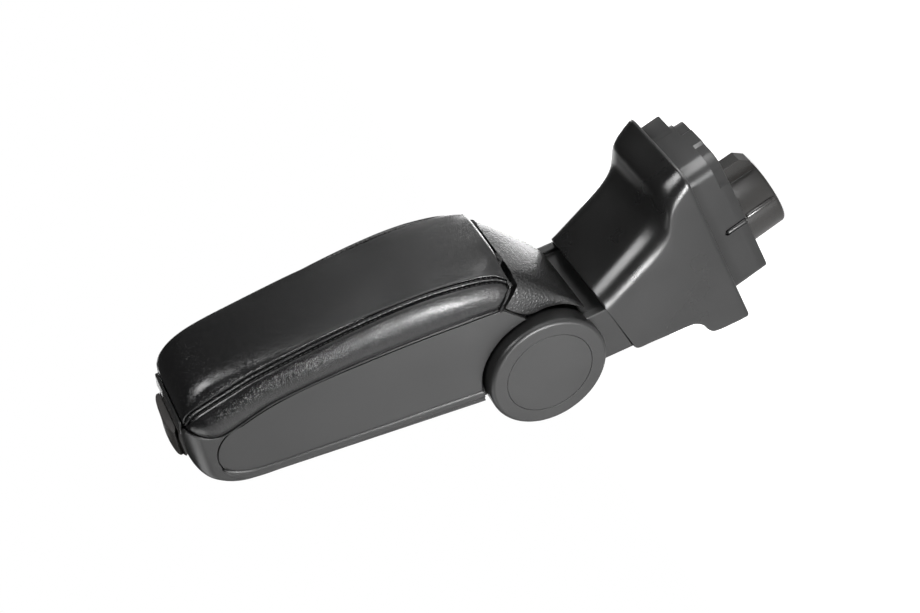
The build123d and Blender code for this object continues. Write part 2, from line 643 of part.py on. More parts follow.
# Lid: a padded cap on a hard plate, hinged inside its rear edge
lid_front = BOX_LENGTH - LID_FRONT_INSET
lid_low_rear = (PART_REAR_F, PART_REAR + PART_GAP / 2)
lid_top_rear = (LID_REAR_F + LID_REAR_LEAN, LID_REAR_TOP)
nose_top = (lid_front - LID_NOSE_RUN, (LID_CROWN + LID_REAR_TOP) / 2 - PART_EASE)
pad_outline = (
    part_line(PART_GAP / 2)
    + Line((lid_front, PART_FRONT + PART_GAP / 2), (lid_front, LID_NOSE))
    + ThreePointArc(
        (lid_front, LID_NOSE),
        (lid_front - LID_NOSE_RUN / 4, LID_NOSE + (nose_top[1] - LID_NOSE) * LID_NOSE_FULL),
        nose_top,
    )
    + ThreePointArc(nose_top, (lid_front / 2, LID_CROWN), lid_top_rear)
    + Polyline(lid_top_rear, (LID_REAR_F, LID_REAR_HIGH), (LID_REAR_F, LID_REAR_LOW), lid_low_rear)
)
arch_half = BOX_HALF_REAR + PAD_SKIN
shoulder_x = BOX_HALF_REAR - LID_SHOULDER_IN
crown = ThreePointArc((-shoulder_x, LID_SHOULDER), (0, LID_CROWN), (shoulder_x, LID_SHOULDER))
right_shoulder = TangentArc((shoulder_x, LID_SHOULDER), (arch_half, LID_SIDE), tangent=crown % 1)
left_shoulder = TangentArc((-shoulder_x, LID_SHOULDER), (-arch_half, LID_SIDE), tangent=-(crown % 0))
arch = make_face(
    crown + right_shoulder + left_shoulder
    + Polyline((arch_half, LID_SIDE), (arch_half, 0), (-arch_half, 0), (-arch_half, LID_SIDE))
)
pad_plan = offset(plan_face(0), PART_GAP) & Pos(0, (LID_REAR_F + lid_front) / 2) * RectangleRounded(
    2 * arch_half, lid_front - LID_REAR_F, LID_CORNER
)
lid_pad = side_prism(pad_outline, FAR) & (Pos(0, 0, -FAR / 2) * extrude(pad_plan, amount=FAR))
lid_pad = lid_pad & extrude(Plane.XZ * arch, amount=-FAR)
plate_top = LID_PLATE_U + LID_PLATE
plate_f = (PART_REAR_F + PAD_SKIN, lid_front - PAD_SKIN)
lid_hollow = block((-FAR, FAR), plate_f, (0, plate_top)) & plan_prism(PAD_SKIN)
pocket_half = hood_ear_x[1] + EAR
pocket_top = LID_AXIS_U + EAR_R + SLIDE
lid_pad -= lid_hollow + block((-pocket_half, pocket_half), (-FAR / 2, plate_f[0] + EAR), (0, pocket_top))
lid_pad -= block(
    (-LATCH_WIDTH / 2, LATCH_WIDTH / 2),
    (plate_f[1] - EAR, FAR),
    (0, PART_FRONT + PART_GAP / 2),
)
lid_ear_x = (EAR_PLACE, EAR_PLACE + EAR)
lid_ear = x_rod(EAR_R, *lid_ear_x, LID_AXIS_F, LID_AXIS_U)
lid_ear += side_poly(
    [
        (LID_AXIS_F - ear_reach, LID_AXIS_U - ear_reach),
        (plate_f[0] + FIT, LID_PLATE_U),
        (plate_f[0] + EAR - FIT, LID_PLATE_U),
        (plate_f[0] + EAR - FIT, plate_top), (LID_AXIS_F + ear_reach, LID_AXIS_U + ear_reach),
    ],
    FAR,
) & block(lid_ear_x, (-FAR, FAR), (-FAR, FAR))
plate_slab = block((-FAR, FAR), (plate_f[0] + FIT, plate_f[1] - FIT), (LID_PLATE_U, plate_top - FIT))
lid_plate = plate_slab & plan_prism(PAD_SKIN + FIT)
lid_plate += both_sides(lid_ear)
lid_plate -= pin_run
lid_screws = None
screw_x = BOX_HALF_FRONT - 4 * PAD_SKIN
screw_f = (BOX_LENGTH * LID_SCREW_AT, BOX_LENGTH * (1 - LID_SCREW_AT))
for spot_x, spot_f in [(sx * screw_x, f) for sx in (-1, 1) for f in screw_f]:
    spot = Pos(spot_x, spot_f, LID_PLATE_U)
    screw = spot * Cylinder(SCREW_HEAD_R, SCREW_HEAD, align=HANGING)
    screw += spot * Cylinder(SCREW_R, LID_PLATE - FIT, align=STANDING)
    lid_plate -= spot * Cylinder(SCREW_R + FIT, LID_PLATE * 2)
    lid_screws = screw if lid_screws is None else lid_screws + screw
bumper_f = plate_f[0] + EAR + BUMPER_R + FIT
bumper_low = part_points[1][1] - PART_GAP / 2 - (PART_MID - PART_REAR) * BUMPER_RISE
bumper = Pos(BOX_HALF_REAR - PAD_SKIN - 2 * BUMPER_R, bumper_f, bumper_low) * Cylinder(
    BUMPER_R, LID_PLATE_U - bumper_low, align=STANDING
)
lid_bumpers = both_sides(bumper)

# Latch: a sprung handle in the tub's front wall and a striker under the lid
pin_f = BOX_LENGTH - LATCH_PIN_SET
pin_u = LATCH_TOP - LATCH_PLATE / 2
latch_half = LATCH_WIDTH / 2
rail_gap = 3 * LATCH_GAP + SLIDE
tub -= block(
    (-latch_half - LATCH_GAP, latch_half + LATCH_GAP),
    (inner_front[0] - WALL, FAR),
    (LATCH_LOW - LATCH_GAP, LATCH_TOP + rail_gap),
)
boss_x = (latch_half + 2 * LATCH_GAP, latch_half + 2 * LATCH_GAP + EAR)
latch_boss = block(boss_x, (pin_f - EAR, inner_front[0] + FIT), (pin_u - EAR, pin_u + EAR))
tub += both_sides(latch_boss) & plan_prism(FIT)
latch_pin = x_rod(LATCH_PIN_R, -boss_x[1], boss_x[1], pin_f, pin_u)
tub -= x_rod(LATCH_PIN_R + FIT, -boss_x[1] - FIT, boss_x[1] + FIT, pin_f, pin_u)
plate_back = BOX_LENGTH - LATCH_PLATE
latch_handle = side_poly(
    [
        (plate_back, LATCH_TOP), (BOX_LENGTH - FIT, LATCH_TOP), (BOX_LENGTH + LATCH_LIP, LATCH_LOW),
        (BOX_LENGTH + LATCH_LIP - LATCH_PLATE, LATCH_LOW), (plate_back, LATCH_LOW + 2 * LATCH_PLATE),
    ],
    latch_half,
)
bow_r = (latch_half**2 + LATCH_BOW**2) / (2 * LATCH_BOW)
latch_handle &= Pos(0, BOX_LENGTH + LATCH_LIP - bow_r, 0) * Cylinder(bow_r, FAR)
lug_x = (latch_half - 2 * EAR, latch_half - EAR)
lug = block(lug_x, (pin_f - LATCH_PLATE, plate_back + FIT), (pin_u - LATCH_PLATE, pin_u + LATCH_PLATE / 2))
hook_u = (LATCH_TOP + LATCH_PLATE / 2, FRONT_TOP)
striker_f = (plate_f[1] + STRIKER, plate_f[1] + 2 * STRIKER)
nose_f = striker_f[0] - HOOK_GAP
hook_half = HOOK_WIDTH / 2
hook_f = (nose_f - LATCH_PLATE, plate_back + FIT)
hook = block((-hook_half, hook_half), hook_f, (pin_u - LATCH_PLATE, pin_u + LATCH_PLATE / 2))
hook += block((-hook_half, hook_half), (nose_f - LATCH_PLATE, nose_f - STRIKER / 2), (pin_u, hook_u[1]))
hook += block((-hook_half, hook_half), (nose_f - STRIKER, nose_f), (hook_u[1] - STRIKER, hook_u[1]))
latch_handle += both_sides(lug) + hook
latch_handle -= x_rod(LATCH_PIN_R + AXLE_RUN, -FAR, FAR, pin_f, pin_u)
spring_x = (hook_half + EAR, lug_x[0] - EAR)
latch_spring = x_rod(LATCH_PIN_R + 3 * SLIDE, *spring_x, pin_f, pin_u)
latch_spring -= x_rod(LATCH_PIN_R + FIT, -FAR, FAR, pin_f, pin_u)
striker_low = LID_PLATE_U - STRIKER_DROP + STRIKER
lid_striker = block(
    (-STRIKER_WIDTH / 2, STRIKER_WIDTH / 2),
    (plate_f[1] - STRIKER_WIDTH, striker_f[1]),
    (LID_PLATE_U - STRIKER, LID_PLATE_U),
)
lid_striker += block((-STRIKER_WIDTH / 2, STRIKER_WIDTH / 2), striker_f, (striker_low, LID_PLATE_U))

pieces = {
    "base_shell": base_shell,
    "insert_block": insert_block,
    "cup_plug": cup_plug,
    "plug_screws": plug_screws,
    "steel_post": steel_post,
    "foot_bolts": foot_bolts,
    "neck_yoke": neck_yoke,
    "neck_bolts": neck_bolts,
    "hinge_axle": hinge_axle,
    "axle_nut": axle_nut,
    "disc_springs": disc_springs,
    "friction_washers": friction_washers,
    "left_hub_cover": left_hub_cover,
    "right_hub_cover": right_hub_cover,
    "left_hub_cap": left_hub_cap,
    "right_hub_cap": right_hub_cap,
    "tub": arm_frame * tub,
    "arm_bracket": arm_frame * arm_bracket,
    "bracket_screws": arm_frame * bracket_screws,
    "left_side_panel": arm_frame * left_panel,
    "right_side_panel": arm_frame * right_panel,
    "rear_hood": arm_frame * rear_hood,
    "tub_mat": arm_frame * tub_mat,
    "lid_hinge_pin": arm_frame * lid_hinge_pin,
    "latch_pin": arm_frame * latch_pin,
    "latch_spring": arm_frame * latch_spring,
    "latch_handle": arm_frame * latch_handle,
    "lid_pad": arm_frame * lid_pad,
    "lid_plate": arm_frame * lid_plate,
    "lid_screws": arm_frame * lid_screws,
    "lid_bumpers": arm_frame * lid_bumpers,
    "lid_striker": arm_frame * lid_striker,
}
os.makedirs("parts", exist_ok=True)
for name, piece in pieces.items():
    export_step(piece, f"parts/{name}.step")
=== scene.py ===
# Car centre armrest: a padded storage box on a friction hinge, carried by a console base that plugs into a
# cup holder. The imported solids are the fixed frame. The hidden and plain mouldings keep their solids under
# worked-up finishes; the console shell, the insert, the hood, the lid's cushion and the trim are modelled here.
from math import pi, radians, sin, sqrt

import bpy
import numpy as np
from mathutils import Matrix, Vector


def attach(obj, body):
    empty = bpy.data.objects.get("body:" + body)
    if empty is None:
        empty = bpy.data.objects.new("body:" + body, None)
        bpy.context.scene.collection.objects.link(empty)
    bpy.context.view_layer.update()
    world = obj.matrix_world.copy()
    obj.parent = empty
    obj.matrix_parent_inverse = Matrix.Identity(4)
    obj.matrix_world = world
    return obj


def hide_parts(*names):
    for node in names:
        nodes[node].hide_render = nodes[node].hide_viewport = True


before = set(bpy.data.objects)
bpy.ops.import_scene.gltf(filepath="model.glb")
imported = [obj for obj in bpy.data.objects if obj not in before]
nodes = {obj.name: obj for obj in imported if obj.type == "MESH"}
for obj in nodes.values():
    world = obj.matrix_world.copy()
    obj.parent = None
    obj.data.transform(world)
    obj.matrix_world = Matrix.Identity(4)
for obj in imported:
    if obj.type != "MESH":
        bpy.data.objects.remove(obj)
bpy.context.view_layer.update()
bpy.context.scene.view_settings.view_transform = "Standard"


# Console base: a hollow black ABS moulding, satin-gloss, its back scooped out to a thick flange lip.
# Injection moulded in one shot and polished on the scoop; its edges carry a painted highlight, a paler colour.
def link(tree, start, start_socket, end, end_socket):
    tree.links.new(start.outputs[start_socket], end.inputs[end_socket])


def new_node(tree, kind, **inputs):
    made = tree.nodes.new(kind)
    for socket, value in inputs.items():
        made.inputs[socket.replace("_", " ")].default_value = value
    return made


def remap(tree, source, socket, low, high, to_low, to_high):
    scaled = new_node(tree, "ShaderNodeMapRange")
    for name, value in (("From Min", low), ("From Max", high), ("To Min", to_low), ("To Max", to_high)):
        scaled.inputs[name].default_value = value
    link(tree, source, socket, scaled, "Value")
    return scaled


def colour_mix(tree, low, high):
    mix = tree.nodes.new("ShaderNodeMix")
    mix.data_type = "RGBA"
    mix.inputs[6].default_value, mix.inputs[7].default_value = low, high
    return mix


def new_material(name):
    material = bpy.data.materials.new(name)
    material.use_nodes = True
    tree = material.node_tree
    return material, tree, tree.nodes["Principled BSDF"]


def moulded(name, colour, rough, specular, grain_size, grain_depth, pebble=False, edge=0.0008, painted_edge_highlight=0.35):
    """Moulded plastic: spark-eroded or pebbled grain, uneven gloss, and edges painted paler as a painted
    highlight.
    """
    material, tree, surface = new_material(name)
    surface.inputs["Specular IOR Level"].default_value = specular
    place = tree.nodes.new("ShaderNodeTexCoord")
    cloud = new_node(tree, "ShaderNodeTexNoise", Scale=18.0, Detail=4.0)
    link(tree, place, "Object", cloud, "Vector")
    if pebble:
        cells = new_node(tree, "ShaderNodeTexVoronoi", Scale=1.0 / grain_size, Randomness=1.0)
        cells.feature = "SMOOTH_F1"
        cells.inputs["Smoothness"].default_value = 0.6
        link(tree, place, "Object", cells, "Vector")
        relief = remap(tree, cells, "Distance", 0.0, 0.7, 1.0, 0.0)
        relief_socket = "Result"
    else:
        relief = new_node(tree, "ShaderNodeTexNoise", Scale=1.0 / grain_size, Detail=3.0, Roughness=0.6)
        link(tree, place, "Object", relief, "Vector")
        relief_socket = "Fac"
    soft_edge = tree.nodes.new("ShaderNodeBevel")
    soft_edge.samples = 4
    soft_edge.inputs["Radius"].default_value = edge
    bump = new_node(tree, "ShaderNodeBump", Strength=1.0, Distance=grain_depth)
    link(tree, relief, relief_socket, bump, "Height")
    link(tree, soft_edge, "Normal", bump, "Normal")
    link(tree, bump, "Normal", surface, "Normal")
    flat = tree.nodes.new("ShaderNodeNewGeometry")
    turn = tree.nodes.new("ShaderNodeVectorMath")
    turn.operation = "DOT_PRODUCT"
    tree.links.new(soft_edge.outputs["Normal"], turn.inputs[0])
    tree.links.new(flat.outputs["Normal"], turn.inputs[1])
    # painted highlight: the base colour turns paler where the rounded-edge normal leans away from the face,
    # standing in for light caught on the edges
    painted_highlight_mask = remap(tree, turn, "Value", 0.995, 0.8, 0.0, painted_edge_highlight)
    swing = 0.06
    tones = [tuple(c * k for c in colour) + (1.0,) for k in (1 - swing, 1 + swing)]
    shade = colour_mix(tree, *tones)
    link(tree, cloud, "Fac", shade, 0)
    highlight_colour = colour_mix(tree, tones[0], tuple(min(1.0, c * 2.2 + 0.01) for c in colour) + (1.0,))
    tree.links.new(painted_highlight_mask.outputs["Result"], highlight_colour.inputs[0])
    tree.links.new(shade.outputs[2], highlight_colour.inputs[6])
    tree.links.new(highlight_colour.outputs[2], surface.inputs["Base Color"])
    gloss = remap(tree, cloud, "Fac", 0.3, 0.7, rough - 0.05, rough + 0.05)
    link(tree, gloss, "Result", surface, "Roughness")
    return material


def finish_node(name, material):
    nodes[name].data.materials.clear()
    nodes[name].data.materials.append(material)


def deselect_all():
    bpy.ops.object.select_all(action="DESELECT")


def only(*pieces):
    """Selects these pieces alone, the first of them active."""
    deselect_all()
    for piece in pieces:
        piece.select_set(True)
    bpy.context.view_layer.objects.active = pieces[0]


def join(pieces, name):
    only(*pieces)
    bpy.ops.object.join()
    pieces[0].name = pieces[0].data.name = name
    return pieces[0]


def sheet_of(name, rows):
    """A grid of quads whose rows of points are given; the primitive's corners are laid out row by row."""
    rows = np.asarray(rows, float)
    count, width = rows.shape[:2]
    deselect_all()
    bpy.ops.mesh.primitive_grid_add(x_subdivisions=width - 1, y_subdivisions=count - 1, size=1)
    piece = bpy.context.object
    piece.name = piece.data.name = name
    piece.data.vertices.foreach_set("co", rows.reshape(-1))
    piece.data.update()
    return piece


def apply_all(piece):
    only(piece)
    for modifier in list(piece.modifiers):
        bpy.ops.object.modifier_apply(modifier=modifier.name)


def outward(piece):
    only(piece)
    bpy.ops.object.mode_set(mode="EDIT")
    bpy.ops.mesh.select_all(action="SELECT")
    bpy.ops.mesh.remove_doubles(threshold=1e-6)
    bpy.ops.mesh.normals_make_consistent(inside=False)
    bpy.ops.object.mode_set(mode="OBJECT")


def along(keys, places):
    """Smooth values between keyed ones (a Catmull-Rom curve through the keys)."""
    keys = np.asarray(keys, float)
    pad = np.vstack([2 * keys[0] - keys[1], keys, 2 * keys[-1] - keys[-2]])
    spot = np.clip(places, 0, len(keys) - 1 - 1e-9)
    i = spot.astype(int)
    t = (spot - i)[:, None]
    a, b, c, d = pad[i], pad[i + 1], pad[i + 2], pad[i + 3]
    return b + 0.5 * t * (c - a + t * (2 * a - 5 * b + 4 * c - d + t * (3 * (b - c) + d - a)))


def stations(keys, count):
    return along(keys, np.linspace(0, len(keys) - 1, count))


CORNER_POINTS = 13


def round_cornered(half, run, rear_r, front_r, rear_spots, side_spots):
    """Outline of a plate, from the middle of its rear edge round to the middle of its front and back."""
    turn = np.linspace(0, pi / 2, CORNER_POINTS)
    one_side = np.concatenate([
        np.stack([np.asarray(rear_spots) * (half - rear_r), np.zeros(len(rear_spots))], axis=1),
        np.stack([half - rear_r + rear_r * np.sin(turn), rear_r - rear_r * np.cos(turn)], axis=1),
        np.stack(
            [np.full(len(side_spots), half), rear_r + np.asarray(side_spots) * (run - rear_r - front_r)], axis=1
        ),
        np.stack(
            [half - front_r + front_r * np.cos(turn[::2]), run - front_r + front_r * np.sin(turn[::2])], axis=1
        ),
        np.stack([np.linspace(half - front_r, 0, 8)[1:], np.full(7, run)], axis=1),
    ])
    return np.concatenate([one_side * (-1, 1), one_side[::-1][1:]])


def level_way(points, middle):
    """Level directions from a middle point out to the points of a loop."""
    way = (points - middle) * np.array([1.0, 1.0, 0.0])
    return way / np.linalg.norm(way, axis=1, keepdims=True)


# stations down the shell: rear y, rear z, front y, front z, rear corner radius, front corner radius
base_keys = [
    (-50.3, 104.8, 18.0, 99.8, 17.0, 3.0),
    (-52.4, 98.8, 25.2, 96.4, 18.0, 3.0),
    (-56.8, 86.0, 28.6, 84.5, 18.5, 3.0),
    (-62.2, 70.5, 33.3, 68.0, 19.0, 3.0),
    (-67.4, 56.0, 38.0, 51.5, 19.5, 3.5),
    (-71.6, 46.6, 41.6, 44.2, 20.0, 4.0),
    (-77.0, 38.0, 48.0, 39.4, 20.5, 4.0),
    (-84.0, 31.2, 55.6, 37.4, 21.0, 4.0),
    (-92.2, 26.6, 61.4, 34.0, 21.0, 4.0),
    (-99.2, 22.6, 64.6, 26.8, 19.5, 4.0),
    (-103.8, 16.8, 66.8, 19.0, 17.5, 4.5),
    (-107.8, 7.8, 69.2, 10.0, 15.5, 5.0),
    (-111.0, -0.2, 70.4, 2.6, 14.5, 5.0),
]
BASE_HALF, BASE_ROWS, SHELL_WALL = 50.0, 61, 0.0018
FOOT_MIDDLE, MOUTH_MIDDLE = (0.0, -20.0, 0.0), (0.0, -16.0, 0.0)
base_rows = []
base_rear_spots = np.linspace(0, 1, 8)[:-1]
base_side_spots = np.linspace(0, 1, 12)[1:-1]
for rear_y, rear_z, front_y, front_z, rear_r, front_r in stations(base_keys, BASE_ROWS):
    run = sqrt((front_y - rear_y) ** 2 + (front_z - rear_z) ** 2)
    loop = round_cornered(BASE_HALF, run, rear_r, front_r, base_rear_spots, base_side_spots)
    step = loop[:, 1] / run
    base_y = rear_y + step * (front_y - rear_y)
    base_z = rear_z + step * (front_z - rear_z)
    base_rows.append(np.stack([loop[:, 0], base_y, base_z], axis=1))
# a rolled rim closes the foot, and the mouth turns in round the neck
foot, mouth = base_rows[-1], base_rows[0]
for inward, drop in ((0.25, 0.9), (0.9, 1.7), (2.0, 2.1)):
    base_rows.append(foot - level_way(foot, FOOT_MIDDLE) * inward - np.array([0.0, 0.0, drop]))
for inward, lift in ((0.5, 0.35), (2.4, 0.4)):
    base_rows.insert(0, mouth - level_way(mouth, MOUTH_MIDDLE) * inward + np.array([0.0, 0.0, lift]))
shell = sheet_of("console_shell", np.array(base_rows) * 0.001)
outward(shell)
wall = shell.modifiers.new("wall", "SOLIDIFY")
wall.thickness = SHELL_WALL
wall.offset = -1.0
apply_all(shell)
bpy.ops.object.shade_smooth_by_angle(angle=radians(50))
base_black = moulded("base_black", (0.006, 0.006, 0.006), 0.30, 0.55, 0.0009, 0.00007, painted_edge_highlight=0.2)
shell.data.materials.append(base_black)
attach(shell, "base")
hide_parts("base_shell")


# Steel hardware: the welded post on its foot plate, the arm's bracket and the lid's hinge pin, black coated.
# Bolts, screws, axle, washers, springs and striker are zinc plated. All of it is drawn or pressed steel, and
# it is out of sight until the lid stands open.
def plated(name, colour, rough, streak):
    material, tree, surface = new_material(name)
    surface.inputs["Metallic"].default_value = 1.0
    place = tree.nodes.new("ShaderNodeTexCoord")
    stretch = tree.nodes.new("ShaderNodeMapping")
    stretch.inputs["Scale"].default_value = (1.0, streak, streak)
    drawn = new_node(tree, "ShaderNodeTexNoise", Scale=700.0, Detail=5.0)
    patch = new_node(tree, "ShaderNodeTexNoise", Scale=60.0, Detail=3.0)
    link(tree, place, "Object", stretch, "Vector")
    link(tree, stretch, "Vector", drawn, "Vector")
    link(tree, place, "Object", patch, "Vector")
    dull = tuple(c * 0.8 for c in colour) + (1.0,)
    clean = tuple(min(1.0, c * 1.15) for c in colour) + (1.0,)
    tint = colour_mix(tree, dull, clean)
    link(tree, patch, "Fac", tint, 0)
    tree.links.new(tint.outputs[2], surface.inputs["Base Color"])
    gloss = remap(tree, drawn, "Fac", 0.3, 0.7, rough - 0.08, rough + 0.1)
    link(tree, gloss, "Result", surface, "Roughness")
    bump = new_node(tree, "ShaderNodeBump", Strength=0.4, Distance=0.00004)
    link(tree, drawn, "Fac", bump, "Height")
    link(tree, bump, "Normal", surface, "Normal")
    return material


zinc = plated("zinc_plate", (0.40, 0.40, 0.41), 0.36, 0.15)
black_coat = moulded("black_coat", (0.010, 0.010, 0.010), 0.55, 0.2, 0.0007, 0.00004, painted_edge_highlight=0.1)
for name in ("steel_post", "arm_bracket", "lid_hinge_pin"):
    finish_node(name, black_coat)
for name in (
    "plug_screws", "foot_bolts", "neck_bolts", "hinge_axle", "axle_nut", "disc_springs", "friction_washers",
    "bracket_screws", "latch_pin", "latch_spring", "lid_screws", "lid_striker",
):
    finish_node(name, zinc)


# Insert block: the charcoal moulding that drops into the console tray, its rear corner relieved low down.
# A plate inside the shell carries it; a round-ended slot in each side takes a rib of the plug.
def close_ends(piece):
    """Welds a lofted sheet, fills its open loops and turns its faces outward."""
    only(piece)
    bpy.ops.object.mode_set(mode="EDIT")
    bpy.ops.mesh.select_all(action="SELECT")
    bpy.ops.mesh.remove_doubles(threshold=1e-6)
    bpy.ops.mesh.select_all(action="DESELECT")
    bpy.ops.mesh.select_non_manifold()
    bpy.ops.mesh.edge_face_add()
    bpy.ops.mesh.select_all(action="SELECT")
    bpy.ops.mesh.normals_make_consistent(inside=False)
    bpy.ops.object.mode_set(mode="OBJECT")


rear_spots = np.concatenate([[0.0, 0.2, 0.38, 0.42], np.linspace(0.55, 0.95, 4)])
side_spots = np.concatenate([[0.05, 0.09, 0.115, 0.135], np.linspace(0.2, 0.97, 9)])
relieved = np.arange(4, len(rear_spots) + CORNER_POINTS + 3)
insert_rows = []
# z, half width, rear y, front y, rear corner radius, depth of the corner relief
for z, half_x, rear_y, front_y, rear_r, relief in (
    (3.8, 20.0, -80.0, 40.0, 12.0, 0.0),
    (3.8, 45.6, -105.6, 65.0, 17.0, 0.0),
    (0.35, 45.6, -105.6, 65.0, 17.0, 0.0),
    (0.30, 36.0, -95.0, 49.0, 15.0, 0.0),
    (0.0, 35.8, -94.8, 48.8, 15.0, 0.0),
    (-12.0, 35.6, -94.6, 48.6, 15.0, 0.0),
    (-25.6, 35.3, -94.3, 48.3, 15.0, 0.0),
    (-26.0, 35.3, -94.3, 48.3, 15.0, 0.0),
    (-26.2, 35.3, -94.3, 48.3, 15.0, 1.9),
    (-26.6, 35.3, -94.3, 48.3, 15.0, 2.1),
    (-34.2, 35.1, -94.1, 48.1, 15.0, 2.1),
    (-34.8, 34.8, -93.8, 47.8, 14.6, 2.1),
    (-35.0, 34.0, -93.0, 47.0, 14.0, 2.0),
    (-35.0, 20.0, -80.0, 38.0, 10.0, 0.0),
):
    loop = round_cornered(half_x, front_y - rear_y, rear_r, 8.0, rear_spots, side_spots)
    way = loop - np.array([0.0, (front_y - rear_y) / 2])
    ahead = np.roll(loop, -1, axis=0) - np.roll(loop, 1, axis=0)
    ahead[0] = ahead[-1] = (-1.0, 0.0)
    inward = np.stack([ahead[:, 1], -ahead[:, 0]], axis=1) / np.linalg.norm(ahead, axis=1, keepdims=True)
    inward *= -np.sign((inward * way).sum(axis=1, keepdims=True))
    for picked in (relieved, len(loop) - 1 - relieved):
        loop[picked] += inward[picked] * relief
    insert_rows.append(np.stack([loop[:, 0], loop[:, 1] + rear_y, np.full(len(loop), z)], axis=1))
insert = sheet_of("tray_insert", np.array(insert_rows) * 0.001)
close_ends(insert)
INSERT_SIDE, SLOT_Y, SLOT_TOP, SLOT_R, SLOT_DEPTH, SLOT_RUN = 0.0354, -0.0160, -0.0165, 0.0032, 0.0036, 0.03
RIB_X, RIB_Z, RIB_R, RIB_UP, RIB_DOWN = 0.0347, -0.0245, 0.0022, 0.0074, 0.0080
HEEL_AT, HEEL_SIZE = (0.0313, -0.0803, -0.0116), (0.0266, 0.0286, 0.0230)
for side in (-1, 1):
    deselect_all()
    bpy.ops.mesh.primitive_cylinder_add(
        vertices=32,
        radius=SLOT_R,
        depth=SLOT_DEPTH,
        location=(side * INSERT_SIDE, SLOT_Y, SLOT_TOP),
        rotation=(0, pi / 2, 0),
    )
    cutter = bpy.context.object
    for vertex in cutter.data.vertices:
        spot = cutter.matrix_world @ vertex.co
        if spot.z < SLOT_TOP:
            vertex.co = cutter.matrix_world.inverted() @ (spot - Vector((0, 0, SLOT_RUN)))
    cut = insert.modifiers.new("slot", "BOOLEAN")
    cut.operation = "DIFFERENCE"
    cut.object = cutter
    cut.solver = "EXACT"
    apply_all(insert)
    bpy.data.objects.remove(cutter)
    # the rib that keys the plug lies in the slot, proud of the side
    deselect_all()
    bpy.ops.mesh.primitive_uv_sphere_add(
        segments=16, ring_count=16, radius=1, location=(side * RIB_X, SLOT_Y, RIB_Z)
    )
    rib = bpy.context.object
    rib.scale = (RIB_R, RIB_R, RIB_R)
    bpy.ops.object.transform_apply(location=False, rotation=False, scale=True)
    for vertex in rib.data.vertices:
        vertex.co.z += RIB_UP if vertex.co.z > 0 else -RIB_DOWN
    bpy.ops.object.transform_apply(location=True)
    join([insert, rib], "tray_insert")
# a step on the far side, flush with the rear face and two thirds as deep
deselect_all()
bpy.ops.mesh.primitive_cube_add(size=1, location=HEEL_AT)
heel = bpy.context.object
heel.scale = HEEL_SIZE
bpy.ops.object.transform_apply(location=True, rotation=True, scale=True)
soft = heel.modifiers.new("soft", "BEVEL")
soft.width, soft.segments = 0.0016, 3
apply_all(heel)
join([insert, heel], "tray_insert")
bpy.ops.object.shade_smooth_by_angle(angle=radians(35))
insert_grey = moulded("insert_grey", (0.010, 0.010, 0.010), 0.34, 0.5, 0.0008, 0.00002, edge=0.0007, painted_edge_highlight=0.3)
insert.data.materials.clear()
insert.data.materials.append(insert_grey)
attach(insert, "base")
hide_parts("insert_block")

# Cup plug: a glossy charcoal cylinder with a guide key, screwed up under the insert.
# A hollow moulding that drops into the car's cup holder and steadies the console base there.
plug_grey = moulded("plug_grey", (0.018, 0.017, 0.016), 0.22, 0.55, 0.0010, 0.00001, edge=0.0010, painted_edge_highlight=0.4)
finish_node("cup_plug", plug_grey)
# the rib down its side stands proud in line with the slot
PLUG_RIB_AT, PLUG_RIB_R, PLUG_RIB_UP, PLUG_RIB_DOWN = (-0.0291, -0.0130, -0.0500), 0.0024, 0.0118, 0.0112
deselect_all()
bpy.ops.mesh.primitive_uv_sphere_add(segments=20, ring_count=16, radius=PLUG_RIB_R, location=PLUG_RIB_AT)
plug_rib = bpy.context.object
plug_rib.name = plug_rib.data.name = "plug_rib"
for vertex in plug_rib.data.vertices:
    vertex.co.z += PLUG_RIB_UP if vertex.co.z > 0 else -PLUG_RIB_DOWN
bpy.ops.object.transform_apply(location=True)
bpy.ops.object.shade_smooth()
plug_rib.data.materials.append(plug_grey)
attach(plug_rib, "base")


# Neck yoke and hub covers: satin charcoal mouldings. The yoke stands in the column, and its two round
# cheeks carry the axle. The covers are deep round caps over the cheeks, with a flush disc in their faces.
neck_grey = moulded("neck_grey", (0.008, 0.008, 0.008), 0.32, 0.5, 0.0006, 0.00003, edge=0.0024, painted_edge_highlight=0.5)
hub_grey = moulded("hub_grey", (0.012, 0.012, 0.012), 0.40, 0.5, 0.0006, 0.00003, edge=0.0010)
finish_node("neck_yoke", neck_grey)
for name in ("left_hub_cover", "right_hub_cover", "left_hub_cap", "right_hub_cap"):
    finish_node(name, hub_grey)


# Storage tub and its side panels: satin charcoal mouldings, the tub screwed to the steel bracket on the axle.
# The panels are flush plates with a fine frosted grain, set in its sides. A rubber mat lies on the tub's floor.
tub_grey = moulded("tub_grey", (0.012, 0.012, 0.012), 0.36, 0.5, 0.0006, 0.00003, edge=0.0018)
panel_grey = moulded("panel_grey", (0.012, 0.012, 0.012), 0.42, 0.5, 0.0005, 0.00004)
finish_node("tub", tub_grey)
for name in ("left_side_panel", "right_side_panel"):
    finish_node(name, panel_grey)
mat_rubber = moulded("mat_rubber", (0.022, 0.022, 0.022), 0.75, 0.3, 0.0012, 0.00015, pebble=True, painted_edge_highlight=0.1)
for name in ("tub_mat", "lid_bumpers"):
    finish_node(name, mat_rubber)


# Rear hood: a pebble-grained black cover that slopes from the lid's rear edge down over the hinge barrel.
# One thin moulding, its crown rounded over to side cheeks that follow the hub.
LEAN = radians(104)
HUB_Y, HUB_Z = -0.022, 0.170


def into_arm(piece):
    """A piece drawn level, x across, y forward and z up in millimetres, goes to metres on the parked arm."""
    only(piece)
    piece.scale = (0.001, 0.001, 0.001)
    piece.rotation_euler = (LEAN, 0, 0)
    piece.location = (0, HUB_Y, HUB_Z)
    bpy.ops.object.transform_apply(location=True, rotation=True, scale=True)


